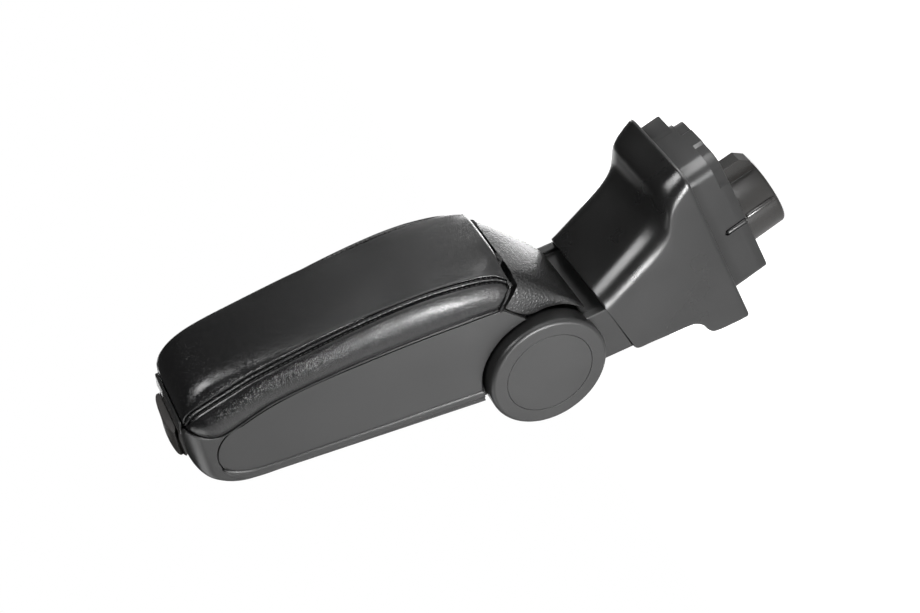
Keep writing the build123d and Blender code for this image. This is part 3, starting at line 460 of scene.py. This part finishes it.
# crown line, half width and lower edge of the hood at six stations from the lid to the hub
hood_keys = [
    # crown f, crown u, half width, lower f, lower u
    (6.8, 99.5, 48.1, 21.2, 75.2),
    (-2.5, 89.6, 47.6, 12.5, 65.0),
    (-14.2, 76.0, 46.4, 1.5, 56.6),
    (-25.5, 61.8, 44.6, -14.0, 54.4),
    (-36.2, 47.8, 42.6, -30.5, 47.2),
    (-46.2, 33.6, 40.2, -45.4, 32.8),
]
HOOD_LAST, HOOD_ROWS, HOOD_WALL = len(hood_keys) - 1, 41, 0.0022
# powers that square the crown and round it over, the share of its rise in which it leans in, and its swell
HOOD_SQUARE, HOOD_ROUND, HOOD_LEAN = 7.0, 2.6, 0.62
HOOD_SWELL, SWELL_BACK, SWELL_UP = 2.2, 0.77, 0.64
hood_places = np.linspace(0, HOOD_LAST, HOOD_ROWS)
across = np.concatenate([-np.cos(np.linspace(0, pi / 2, 21)), np.cos(np.linspace(pi / 2, 0, 21))[1:]])
rise = (1 - np.abs(across) ** HOOD_SQUARE) ** (1 / HOOD_ROUND)
lean_in = np.minimum(1.0, rise / HOOD_LEAN)
hood_rows = []
for (crown_f, crown_u, half_x, low_f, low_u), place in zip(along(hood_keys, hood_places), hood_places):
    swell = HOOD_SWELL * (1 - across**2) * sin(pi * place / HOOD_LAST)
    points = np.stack([
        across * half_x,
        low_f + (crown_f - low_f) * lean_in - swell * SWELL_BACK,
        low_u + (crown_u - low_u) * rise + swell * SWELL_UP,
    ], axis=1)
    hood_rows.append(points)
# its front edge turns in to a lip that lies behind the lid's rear rim
edge = hood_rows[0]
for inset, ahead, drop in ((0.012, 0.3, 0.9), (0.060, 3.8, 5.0)):
    lip = np.stack([edge[:, 0] * (1 - inset), edge[:, 1] + ahead, edge[:, 2] - drop * rise], axis=1)
    hood_rows.insert(0, lip)
hood = sheet_of("hood_cover", hood_rows)
into_arm(hood)
outward(hood)
wall = hood.modifiers.new("wall", "SOLIDIFY")
wall.thickness = HOOD_WALL
wall.offset = -1.0
apply_all(hood)
bpy.ops.object.shade_smooth_by_angle(angle=radians(40))
hood_grain = moulded(
    "hood_grain", (0.010, 0.010, 0.010), 0.34, 0.55, 0.0021, 0.00030, pebble=True, edge=0.001, painted_edge_highlight=0.2
)
hood.data.materials.append(hood_grain)
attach(hood, "arm")
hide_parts("rear_hood")

# Lid board: the hard plate that carries the cushion, its ears turning on the hinge pin.
# A flat black moulding, held by four screws, that carries the striker; seen when the lid is open.
board_black = moulded("board_black", (0.012, 0.012, 0.012), 0.6, 0.2, 0.0010, 0.00006, painted_edge_highlight=0.1)
finish_node("lid_plate", board_black)

# Lid cushion: foam under glossy black leatherette, a top panel sewn to two side bands with a double-stitched
# seam. The cover is pulled over the board and turned under along its lower edge.
lid_keys = [
    # from the rear rim to the front edge:
    # seam f, seam u, seam inset, crown f, crown u, lower f, lower u, fullness, roundness
    (11.6, 94.4, 3.7, 16.3, 120.2, 24.5, 77.8, 4.0, 0.9),
    (22.8, 104.9, 4.0, 26.0, 121.6, 33.0, 78.7, 3.5, 1.05),
    (43.3, 112.1, 4.0, 45.0, 122.2, 50.0, 80.2, 3.0, 1.05),
    (74.6, 117.4, 4.0, 76.0, 122.6, 78.0, 82.0, 2.5, 1.05),
    (110.4, 118.6, 4.0, 111.0, 122.9, 112.0, 83.2, 2.5, 1.1),
    (159.4, 116.2, 4.0, 160.0, 123.2, 160.0, 83.6, 5.5, 2.2),
    (218.2, 110.1, 4.0, 219.0, 122.2, 214.0, 80.4, 6.5, 2.6),
    (245.0, 104.6, 4.0, 250.0, 119.4, 240.0, 74.0, 8.0, 2.8),
    (262.0, 100.6, 4.0, 268.0, 114.4, 256.0, 69.4, 8.0, 2.8),
    (274.0, 97.4, 4.0, 279.5, 106.0, 267.0, 69.0, 8.0, 2.6),
    (281.5, 93.0, 4.4, 284.6, 97.0, 278.0, 76.4, 8.0, 2.2),
    (284.4, 88.4, 5.2, 286.2, 88.0, 284.2, 86.0, 8.0, 2.0),
]
ROW_COUNT = 100
LID_HALF, BOX_HALF = 49.5, 48.5
TAPER_FROM, TAPER_RUN, TAPER_IN = 60.0, 231.0, 7.5


def tapered(half, f):
    """Half width of the lid or the box, which both draw in towards the front."""
    return half - np.maximum(0.0, f - TAPER_FROM) * TAPER_IN / TAPER_RUN


def run_of(points):
    """Distance along a drawn line at each of its points."""
    return np.concatenate([[0.0], np.cumsum(np.linalg.norm(np.diff(points, axis=0), axis=1))])


def vertex_values(piece, field):
    values = np.zeros(len(piece.data.vertices) * 3)
    piece.data.vertices.foreach_get(field, values)
    return values.reshape(-1, 3)


def spaced(points, steps):
    """Points at the given distances along a drawn line."""
    runs = run_of(points)
    return np.stack([np.interp(steps, runs, points[:, k]) for k in range(3)], axis=1)


# distances from the seam at which the cover has a column of points, then how many more above and below
seam_steps = np.array([0.0, 0.75, 1.35, 1.95, 2.55, 3.4, 4.7, 7.0])
SEAM_RUN = seam_steps[-1]
TOP_STEPS, BAND_STEPS = 18, 12
# the side band's swell, and the share of its height there
band_swell = [(0.0, 0.0), (3.6, 0.17), (6.0, 0.38), (6.8, 0.58), (6.0, 0.75), (3.6, 0.90), (0.0, 1.0)]
# where the front corners start and how fast they draw in, and the height at which a band swells in full
CORNER_F, CORNER_IN, FULL_HEIGHT = 270.0, 0.0145, 34.0
# lengths of band that hold the seam's columns and the hem, the hem's points, and how far its edge is drawn up
SEAM_ROOM, HEM_ROOM, HEM_LIFT = 12.0, 6.0, 0.7
hem_points = np.array([(4.2, 0.0, 0.9), (2.2, 0.0, -0.3), (0.7, 0.0, 0.1)])
cushion_rows = []
for seam_f, seam_u, inset, crown_f, crown_u, low_f, low_u, full, round_ in stations(lid_keys, ROW_COUNT):
    seam_x = tapered(LID_HALF, seam_f) - inset
    corner = max(0.0, low_f - CORNER_F)
    low_x = tapered(LID_HALF, low_f) - CORNER_IN * corner**2
    rel = np.linspace(1.0, 0.0, 200)
    rise = (1 - rel**full) ** (1 / round_)
    top = np.stack([
        -seam_x * rel, seam_f + (crown_f - seam_f) * rise, seam_u + (crown_u - seam_u) * rise,
    ], axis=1)
    up = np.linspace(0.0, 1.0, 120)
    full_band = min(1.0, abs(seam_u - low_u) / FULL_HEIGHT)
    out, height = along(band_swell, up * (len(band_swell) - 1)).T
    sides = low_x + (seam_x - low_x) * height + out * full_band
    band = np.stack([-sides, low_f + (seam_f - low_f) * height, low_u + (seam_u - low_u) * height], axis=1)
    top_run, band_run = run_of(top)[-1], run_of(band)[-1]
    fit = min(1.0, band_run / SEAM_ROOM)
    top_rest = SEAM_RUN + (top_run - SEAM_RUN) * np.linspace(0, 1, TOP_STEPS + 1)[1:]
    band_rest = SEAM_RUN * fit + (band_run - SEAM_RUN * fit) * np.linspace(0, 1, BAND_STEPS + 1)[1:]
    top_steps = np.concatenate([seam_steps, top_rest])
    band_steps = np.concatenate([seam_steps * fit, band_rest])
    top_points = spaced(top, top_steps)
    band_points = spaced(band[::-1], band_steps)[::-1]
    hem = band_points[0] + hem_points * min(1.0, band_run / HEM_ROOM)
    drawn_up = np.array([0.0, 0.0, HEM_LIFT]) * np.linspace(1, 0, len(band_points))[:, None]
    left = np.vstack([hem, band_points + drawn_up, top_points[1:]])
    right = left[::-1][1:] * np.array([-1.0, 1.0, 1.0])
    cushion_rows.append(np.vstack([left, right]))
# the cover turns down behind the rim to the hinge, most in the middle where the rim stands highest
RIM_LOW, RIM_CLIMB, SKIRT_DROP, SKIRT_F = 98.0, 22.0, 18.0, 12.2
rim = cushion_rows[0]
for back, low in ((0.6, 0.16), (1.0, 0.5), (0.7, 0.85)):
    skirt = rim.copy()
    climb = np.clip((rim[:, 2] - RIM_LOW) / RIM_CLIMB, 0.0, 1.0)
    high = climb**2 * (3 - 2 * climb)
    skirt[:, 2] -= SKIRT_DROP * high * low + 0.3
    skirt[:, 1] += (SKIRT_F - rim[:, 1]) * back * high + 1.2 * low * (1 - high)
    skirt[:, 0] *= 1 - 0.02 * low
    cushion_rows.insert(0, skirt)
# how many rows or columns are held where the cover is fixed: rear skirt, front edge, hem, beside a seam
SKIRT, FRONT, HEM, SEAM = 3, 3, 3, 4
ROW_COUNT += SKIRT
cushion_rows = np.array(cushion_rows)
SEAM_COLUMN = HEM + len(seam_steps) + BAND_STEPS - 1
COLUMNS = cushion_rows.shape[1]
seam_columns = (SEAM_COLUMN, COLUMNS - 1 - SEAM_COLUMN)
cushion = sheet_of("lid_cushion", cushion_rows)
into_arm(cushion)
bpy.ops.object.mode_set(mode="EDIT")
bpy.ops.mesh.select_all(action="SELECT")
bpy.ops.mesh.normals_make_consistent(inside=False)
bpy.ops.object.mode_set(mode="OBJECT")
column_of = np.tile(np.arange(COLUMNS), ROW_COUNT)
row_of = np.repeat(np.arange(ROW_COUNT), COLUMNS)
crown_normal = vertex_values(cushion, "normal")[(row_of == ROW_COUNT // 2) & (column_of == COLUMNS // 2)][0]
if crown_normal[1] > 0:
    cushion.data.flip_normals()
sewn = cushion.vertex_groups.new(name="sewn")
held = (row_of <= SKIRT) | (row_of >= ROW_COUNT - FRONT)
held |= (column_of <= HEM) | (column_of >= COLUMNS - 1 - HEM)
for column in seam_columns:
    held |= np.abs(column_of - column) <= SEAM
sewn.add([int(i) for i in np.nonzero(held)[0]], 1.0, "REPLACE")
before = vertex_values(cushion, "co")
cloth = cushion.modifiers.new("stuffing", "CLOTH")
cloth.settings.use_pressure = True
cloth.settings.uniform_pressure_force = 4.0
cloth.settings.effector_weights.gravity = 0.0
cloth.settings.vertex_group_mass = "sewn"
cloth.settings.tension_stiffness = cloth.settings.compression_stiffness = 40.0
cloth.settings.bending_stiffness = 4.0
cloth.collision_settings.use_collision = False
CLOTH_FRAMES, SWELL_CAP = 20, 0.0014
for step in range(1, CLOTH_FRAMES + 1):
    bpy.context.scene.frame_set(step)
apply_all(cushion)
bpy.context.scene.frame_set(1)
move = vertex_values(cushion, "co") - before
length = np.linalg.norm(move, axis=1, keepdims=True)
move *= SWELL_CAP * np.tanh(length / SWELL_CAP) / np.maximum(length, 1e-9)
cushion.data.vertices.foreach_set("co", (before + move).reshape(-1))
cushion.data.update()

# the double seam: two sunk rows with a raised welt between them, deepest at the stitches
points = vertex_values(cushion, "co")
normals = vertex_values(cushion, "normal")
seam_shape = {0: 0.0013, 1: 0.0009, 2: -0.0006, 3: -0.0027, 4: -0.0009, 5: 0.0002, 6: 0.0004, 7: 0.0002}
for column in seam_columns:
    for step, depth in seam_shape.items():
        for side in {column - step, column + step}:
            picked = column_of == side
            points[picked] += normals[picked] * depth
cushion.data.vertices.foreach_set("co", points.reshape(-1))
cushion.data.update()

# UV map in metres: along the lid, and across from the nearest seam, for puckers beside the stitches
grid = points.reshape(ROW_COUNT, COLUMNS, 3)
run_along = run_of(grid[:, SEAM_COLUMN])
run_across = np.concatenate(
    [np.zeros((ROW_COUNT, 1)), np.cumsum(np.linalg.norm(np.diff(grid, axis=1), axis=2), axis=1)], axis=1
)
from_seam = np.minimum(
    np.abs(run_across - run_across[:, seam_columns[0]:seam_columns[0] + 1]),
    np.abs(run_across - run_across[:, seam_columns[1]:seam_columns[1] + 1]),
)
seam_map = cushion.data.uv_layers.get("UVMap") or cushion.data.uv_layers.new(name="UVMap")
corner_vertex = np.zeros(len(cushion.data.loops), int)
cushion.data.loops.foreach_get("vertex_index", corner_vertex)
uv = np.stack([run_along[row_of[corner_vertex]], from_seam.reshape(-1)[corner_vertex]], axis=1)
seam_map.data.foreach_set("uv", uv.reshape(-1))

# lining: the shell is closed inside along the board, leaving the mouth at the rear for the hinge ears
LINING = 0.0040
lining = cushion.modifiers.new("lining", "SOLIDIFY")
lining.thickness = LINING
lining.offset = -1.0
apply_all(cushion)
fine = cushion.modifiers.new("fine", "SUBSURF")
fine.levels = fine.render_levels = 1
apply_all(cushion)
bpy.ops.object.shade_smooth()


# one stitch, and the space to the next
STITCH, STITCH_GAP = 0.0030, 0.0012


def maths(tree, operation, *sources):
    """A maths node whose inputs are fed, in turn, from the given nodes' sockets."""
    made = tree.nodes.new("ShaderNodeMath")
    made.operation = operation
    for place, (source, socket) in enumerate(sources):
        link(tree, source, socket, made, place)
    return made


def leatherette(name):
    material, tree, surface = new_material(name)
    surface.inputs["Specular IOR Level"].default_value = 0.5
    place = tree.nodes.new("ShaderNodeTexCoord")
    warp = new_node(tree, "ShaderNodeTexNoise", Scale=260.0, Detail=2.0)
    link(tree, place, "Object", warp, "Vector")
    bend = tree.nodes.new("ShaderNodeVectorMath")
    bend.operation = "MULTIPLY_ADD"
    bend.inputs[1].default_value = (0.0012, 0.0012, 0.0012)
    tree.links.new(warp.outputs["Color"], bend.inputs[0])
    tree.links.new(place.outputs["Object"], bend.inputs[2])
    cells = new_node(tree, "ShaderNodeTexVoronoi", Scale=760.0, Randomness=1.0)
    cells.feature = "DISTANCE_TO_EDGE"
    tree.links.new(bend.outputs["Vector"], cells.inputs["Vector"])
    skin = remap(tree, cells, "Distance", 0.0, 0.22, 0.0, 1.0)
    skin.interpolation_type = "SMOOTHSTEP"
    pores = new_node(tree, "ShaderNodeTexNoise", Scale=2400.0, Detail=2.0)
    link(tree, place, "Object", pores, "Vector")
    cloud = new_node(tree, "ShaderNodeTexNoise", Scale=14.0, Detail=3.0)
    link(tree, place, "Object", cloud, "Vector")
    grain = new_node(tree, "ShaderNodeBump", Strength=0.8, Distance=0.00007)
    link(tree, skin, "Result", grain, "Height")
    fine_grain = new_node(tree, "ShaderNodeBump", Strength=0.2, Distance=0.00003)
    link(tree, pores, "Fac", fine_grain, "Height")
    link(tree, grain, "Normal", fine_grain, "Normal")
    # puckers: the cover gathers a little at each stitch
    seam_uv = tree.nodes.new("ShaderNodeUVMap")
    seam_uv.uv_map = "UVMap"
    split = tree.nodes.new("ShaderNodeSeparateXYZ")
    link(tree, seam_uv, "UV", split, "Vector")
    pitch = maths(tree, "MULTIPLY", (split, "X"))
    pitch.inputs[1].default_value = 2 * pi / (STITCH + STITCH_GAP)
    wave = maths(tree, "SINE", (pitch, 0))
    near = remap(tree, split, "Y", 0.0, 0.009, 1.0, 0.0)
    gather = maths(tree, "MULTIPLY", (wave, 0), (near, "Result"))
    pucker = new_node(tree, "ShaderNodeBump", Strength=0.5, Distance=0.00010)
    tree.links.new(gather.outputs[0], pucker.inputs["Height"])
    link(tree, fine_grain, "Normal", pucker, "Normal")
    link(tree, pucker, "Normal", surface, "Normal")
    shade = colour_mix(tree, (0.003, 0.003, 0.0031, 1.0), (0.006, 0.006, 0.0062, 1.0))
    tree.links.new(skin.outputs["Result"], shade.inputs[0])
    tree.links.new(shade.outputs[2], surface.inputs["Base Color"])
    gloss = remap(tree, cloud, "Fac", 0.3, 0.7, 0.17, 0.22)
    link(tree, gloss, "Result", surface, "Roughness")
    return material


cushion.data.materials.append(leatherette("leatherette"))
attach(cushion, "lid")
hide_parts("lid_pad")

# Seam stitching: black polyester thread, two rows of lockstitch along each seam.
# Each stitch lies in its sunk row and holds the top panel to the side band.
THREAD_WIDE, THREAD_HIGH, THREAD_LIFT = 0.00085, 0.0007, 0.0007
STITCH_COLUMN, STITCH_MARGIN, LOOK_AHEAD = 3, 0.003, 0.001
deselect_all()
bpy.ops.mesh.primitive_uv_sphere_add(segments=6, ring_count=5, radius=0.5)
stitch = bpy.context.object
stitch_points = vertex_values(stitch, "co") * np.array([THREAD_WIDE, THREAD_HIGH, STITCH])
stitches = []
for column in seam_columns:
    for side in (-STITCH_COLUMN, STITCH_COLUMN):
        line = grid[:, column + side]
        skyward = normals.reshape(ROW_COUNT, COLUMNS, 3)[:, column + side]
        runs = run_of(line)
        for spot in np.arange(STITCH_MARGIN, runs[-1] - STITCH_MARGIN, STITCH + STITCH_GAP):
            here = np.array([np.interp(spot, runs, line[:, k]) for k in range(3)])
            ahead = np.array([np.interp(spot + LOOK_AHEAD, runs, line[:, k]) for k in range(3)])
            up = np.array([np.interp(spot, runs, skyward[:, k]) for k in range(3)])
            way = (ahead - here) / np.linalg.norm(ahead - here)
            aside = np.cross(up, way)
            aside /= np.linalg.norm(aside)
            lift = np.cross(way, aside)
            turn = np.stack([aside, lift, way], axis=1)
            copy = stitch.copy()
            copy.data = stitch.data.copy()
            laid = stitch_points @ turn.T + here + lift * THREAD_LIFT
            copy.data.vertices.foreach_set("co", laid.reshape(-1))
            bpy.context.scene.collection.objects.link(copy)
            stitches.append(copy)
bpy.data.objects.remove(stitch)
stitching = join(stitches, "seam_stitching")
bpy.ops.object.shade_smooth()


def thread(name):
    material, tree, surface = new_material(name)
    place = tree.nodes.new("ShaderNodeTexCoord")
    twist = new_node(tree, "ShaderNodeTexNoise", Scale=3000.0, Detail=2.0)
    link(tree, place, "Object", twist, "Vector")
    shade = colour_mix(tree, (0.008, 0.008, 0.008, 1.0), (0.05, 0.05, 0.05, 1.0))
    link(tree, twist, "Fac", shade, 0)
    tree.links.new(shade.outputs[2], surface.inputs["Base Color"])
    gloss = remap(tree, twist, "Fac", 0.3, 0.7, 0.3, 0.45)
    link(tree, gloss, "Result", surface, "Roughness")
    return material


stitching.data.materials.append(thread("black_thread"))
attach(stitching, "lid")

# Tub rim: the rounded lip that the side walls end in, catching the light under the lid's edge.
# Moulded in one with the tub, of the same satin charcoal plastic.
# keyed from the hinge to the front: f, u
rim_keys = [
    (25.0, 76.3), (58.0, 79.3), (90.0, 80.9), (150.0, 81.9), (210.0, 78.9), (230.0, 74.9),
    (245.0, 70.4), (256.0, 67.1), (264.0, 66.4), (271.0, 68.6), (278.0, 73.9), (282.5, 78.6),
]
RIM_ROWS, RIM_TURNS, RIM_R, RIM_SET = 120, 13, 0.95, 0.6
RIM_CORNER_F, RIM_CORNER_IN = 274.0, 0.022
turns = np.linspace(0, 2 * pi, RIM_TURNS)
rims = []
for side in (-1, 1):
    rows = []
    for k, (f, u) in enumerate(stations(rim_keys, RIM_ROWS)):
        corner = max(0.0, f - RIM_CORNER_F)
        x = tapered(BOX_HALF, f) - RIM_SET - RIM_CORNER_IN * corner**2
        # thinner towards both ends
        thick = RIM_R * min(1.0, 0.2 + 4 * min(k, RIM_ROWS - 1 - k) / 40)
        ring_x = side * (x + thick * np.cos(turns))
        rows.append(np.stack([ring_x, np.full(RIM_TURNS, f), u + thick * np.sin(turns)], axis=1))
    rim_piece = sheet_of("tub_rim", rows)
    into_arm(rim_piece)
    close_ends(rim_piece)
    rims.append(rim_piece)
tub_rim = join(rims, "tub_rim")
bpy.ops.object.shade_smooth()
tub_rim.data.materials.append(tub_grey)
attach(tub_rim, "arm")

# Tub bands: the thickened foot of each side wall, standing a little proud under the panel's lower edge.
# Moulded in one with the tub, its upper edge rounded where it laps the panel.
# keyed from the hinge to the panel's nose: lower edge f, u, then upper edge f, u
band_keys = [
    (54.6, -5.9, 54.6, 2.5),
    (100.0, -1.6, 100.0, 6.8),
    (150.0, 3.0, 150.0, 11.4),
    (200.0, 7.7, 200.0, 16.1),
    (228.0, 10.3, 226.0, 18.6),
    (246.0, 12.1, 241.0, 20.4),
    (259.2, 15.6, 253.0, 23.0),
    (267.6, 23.4, 262.6, 28.2),
    (271.6, 33.0, 270.0, 35.4),
]
# steps across the band: share of the way up, and how far it stands out from the wall
band_profile = [
    (0.0, -0.8), (0.0, 0.4), (0.06, 0.8), (0.5, 1.0), (0.86, 1.0), (0.93, 0.8), (0.98, 0.3), (1.0, -0.8),
]
BAND_ROWS = 90
bands = []
for side in (-1, 1):
    rows = []
    for low_f, low_u, top_f, top_u in stations(band_keys, BAND_ROWS):
        row = []
        for up, out in band_profile:
            f = low_f + (top_f - low_f) * up
            row.append((side * (tapered(BOX_HALF, f) + out), f, low_u + (top_u - low_u) * up))
        rows.append(row)
    strip = sheet_of("tub_band", rows)
    into_arm(strip)
    close_ends(strip)
    bands.append(strip)
tub_band = join(bands, "tub_band")
bpy.ops.object.shade_smooth_by_angle(angle=radians(60))
tub_band.data.materials.append(tub_grey)
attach(tub_band, "arm")

# Latch bar: a glossy black strip clipped across the tub's front rail, under the lid's edge.
# A separate moulding that leans back with the wall, between the pull handle and the pad.
BAR_AT, BAR_SIZE, BAR_FOOT, BAR_LEAN = (0, 289.6, 82.8), (64.0, 2.4, 11.8), 77.0, 0.17
deselect_all()
bpy.ops.mesh.primitive_cube_add(size=1, location=BAR_AT)
bar = bpy.context.object
bar.name = bar.data.name = "latch_bar"
bar.scale = BAR_SIZE
bpy.ops.object.transform_apply(location=True, rotation=True, scale=True)
for vertex in bar.data.vertices:
    vertex.co.y -= (vertex.co.z - BAR_FOOT) * BAR_LEAN
into_arm(bar)
soft = bar.modifiers.new("soft", "BEVEL")
soft.width, soft.segments = 0.0009, 4
apply_all(bar)
bpy.ops.object.shade_smooth_by_angle(angle=radians(35))
bar_black = moulded("bar_black", (0.012, 0.012, 0.012), 0.22, 0.5, 0.0010, 0.00001, edge=0.0004)
bar.data.materials.append(bar_black)
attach(bar, "arm")

# Latch handle: a bowed dark lip in the tub's front wall, pulled to free the lid.
# A satin moulding on a pin with a spring; its grip is a curved plate that stands forward of the wall.
handle_black = moulded("handle_black", (0.030, 0.028, 0.027), 0.42, 0.45, 0.0008, 0.00005, edge=0.0012)
finish_node("latch_handle", handle_black)
# rows down the grip: u, how far it stands out, half width
grip_keys = [
    (75.2, 0.0, 24.0), (75.2, 3.0, 24.0), (74.6, 3.7, 24.6), (73.4, 4.0, 25.0), (66.0, 4.3, 25.0),
    (58.0, 4.7, 25.0), (52.0, 5.4, 25.0), (50.2, 5.5, 24.6), (49.6, 4.8, 24.0), (49.6, 0.0, 24.0),
]
WALL_F, GRIP_BOW, GRIP_TURN = 291.6, 2.4, 1.2
x = np.linspace(-1, 1, 25)
bow = GRIP_BOW * (1 - x**2) - GRIP_TURN * np.abs(x) ** 12
grip_rows = []
for u, out, half_x in grip_keys:
    front = WALL_F + out + (bow if out else 0 * bow)
    grip_rows.append(np.stack([x * half_x, front, np.full(len(x), u)], axis=1))
grip = sheet_of("latch_grip", grip_rows)
into_arm(grip)
close_ends(grip)
bpy.ops.object.shade_smooth_by_angle(angle=radians(40))
grip.data.materials.append(handle_black)
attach(grip, "latch")

# Floor: a plain pale sheet half a millimetre under the plug that keeps the part's shadow.
# Seen straight it is white; shiny faces see a ring of it round the part glow pale, a painted reflection
# standing in for a lit table.
FLOOR_SIZE, FLOOR_Z = 12.0, -0.0685
deselect_all()
bpy.ops.mesh.primitive_plane_add(size=FLOOR_SIZE, location=(0, 0, FLOOR_Z))
floor = bpy.context.object
floor.name = "floor"
floor_white, tree, plain = new_material("floor_white")
tree.nodes.remove(plain)
lit = new_node(tree, "ShaderNodeBsdfDiffuse", Color=(0.82, 0.82, 0.82, 1.0))
bright = new_node(tree, "ShaderNodeEmission", Color=(1.0, 1.0, 1.0, 1.0))
ray = tree.nodes.new("ShaderNodeLightPath")
spot = tree.nodes.new("ShaderNodeTexCoord")
reach = tree.nodes.new("ShaderNodeVectorMath")
reach.operation = "LENGTH"
tree.links.new(spot.outputs["Object"], reach.inputs[0])
spread = remap(tree, reach, "Value", 0.5, 3.0, 0.84, 1.0)
# painted reflection: a ring of floor 0.45 to 0.9 m out glows to glossy rays only
rising = remap(tree, reach, "Value", 0.45, 0.65, 0.1, 1.0)
falling = remap(tree, reach, "Value", 0.70, 0.90, 1.0, 0.05)
ring = maths(tree, "MULTIPLY", (rising, "Result"), (falling, "Result"))
seen = maths(tree, "MULTIPLY", (ray, "Is Camera Ray"), (spread, "Result"))
painted_reflection = maths(tree, "MULTIPLY", (ray, "Is Glossy Ray"), (ring, 0))
glow = maths(tree, "ADD", (seen, 0), (painted_reflection, 0))
link(tree, glow, 0, bright, "Strength")
added = tree.nodes.new("ShaderNodeAddShader")
tree.links.new(lit.outputs[0], added.inputs[0])
tree.links.new(bright.outputs[0], added.inputs[1])
tree.links.new(added.outputs[0], tree.nodes["Material Output"].inputs["Surface"])
floor.data.materials.append(floor_white)

# Studio light: a pale sweep round the horizon, dim above, and white where it is seen straight.
# A soft box behind the part is the key; panels light its sides, and low cards stand in for what it mirrors.
sky = bpy.data.worlds.new("studio")
bpy.context.scene.world = sky
sky.use_nodes = True
tree = sky.node_tree
place = tree.nodes.new("ShaderNodeTexCoord")
split = tree.nodes.new("ShaderNodeSeparateXYZ")
link(tree, place, "Generated", split, "Vector")
sweep = remap(tree, split, "Z", 0.02, 0.22, 0.14, 0.04)
ray = tree.nodes.new("ShaderNodeLightPath")
level = remap(tree, ray, "Is Glossy Ray", 0.0, 1.0, 2.4, 1.0)
dim = maths(tree, "MULTIPLY", (sweep, "Result"), (level, "Result"))
strength = maths(tree, "MAXIMUM", (dim, 0), (ray, "Is Camera Ray"))
tree.links.new(strength.outputs[0], tree.nodes["Background"].inputs["Strength"])
tree.nodes["Background"].inputs["Color"].default_value = (1.0, 1.0, 1.0, 1.0)


def soft_box(name, place, aim, width, height, power):
    light = bpy.data.lights.new(name, "AREA")
    light.shape = "RECTANGLE"
    light.size, light.size_y, light.energy = width, height, power
    box = bpy.data.objects.new(name, light)
    bpy.context.scene.collection.objects.link(box)
    box.location = place
    box.rotation_euler = (Vector(aim) - Vector(place)).to_track_quat("-Z", "Y").to_matrix().to_euler()
    box.visible_camera = False


soft_box("rear_box", (-0.12, -1.25, 0.67), (0.0, -0.06, 0.08), 0.95, 0.34, 17.0)
soft_box("left_panel", (-0.85, 1.00, 0.36), (0.0, -0.08, 0.16), 1.5, 1.1, 6.8)
soft_box("right_panel", (0.95, 0.95, 0.42), (0.0, -0.08, 0.20), 1.2, 1.0, 8.0)
soft_box("high_panel", (-0.50, 0.52, 1.15), (0.0, -0.10, 0.35), 0.6, 0.6, 4.0)
soft_box("left_card", (-1.20, 0.14, 0.015), (0.0, 0.10, 0.055), 0.50, 0.16, 19.5)
soft_box("near_card", (-0.19, -0.64, -0.064), (-0.19, -0.64, 1.0), 0.24, 0.60, 1.6)
soft_box("plug_card", (-0.035, -0.137, -0.038), (-0.035, 0.0, -0.038), 0.07, 0.045, 0.07)
soft_box("bounce_board", (0.42, 0.02, -0.03), (0.0, -0.06, 0.25), 0.45, 0.06, 0.6)

# Camera: at the photograph's angle, rolled as the part lies in the picture.
# Its focal length is in pixels of the picture's width, on a sensor 36 mm wide.
FOCAL_PIXELS, SENSOR, PICTURE_WIDTH = 1900, 36, 920
lens = bpy.data.cameras.new("camera")
lens.lens = FOCAL_PIXELS * SENSOR / PICTURE_WIDTH
lens.clip_end = 100
camera = bpy.data.objects.new("camera", lens)
bpy.context.scene.collection.objects.link(camera)
right_way = Vector((-0.39613538, 0.39548544, -0.82865435))
down_way = Vector((-0.57038294, 0.60124034, 0.55961893))
view_way = Vector((0.71954156, 0.69433517, -0.01259443))
stand = Vector((-1.10483, -1.14910, 0.21975))
turn = [[right_way[k], -down_way[k], -view_way[k], stand[k]] for k in range(3)]
camera.matrix_world = Matrix(turn + [[0, 0, 0, 1]])
bpy.context.scene.camera = camera

bpy.context.view_layer.update()
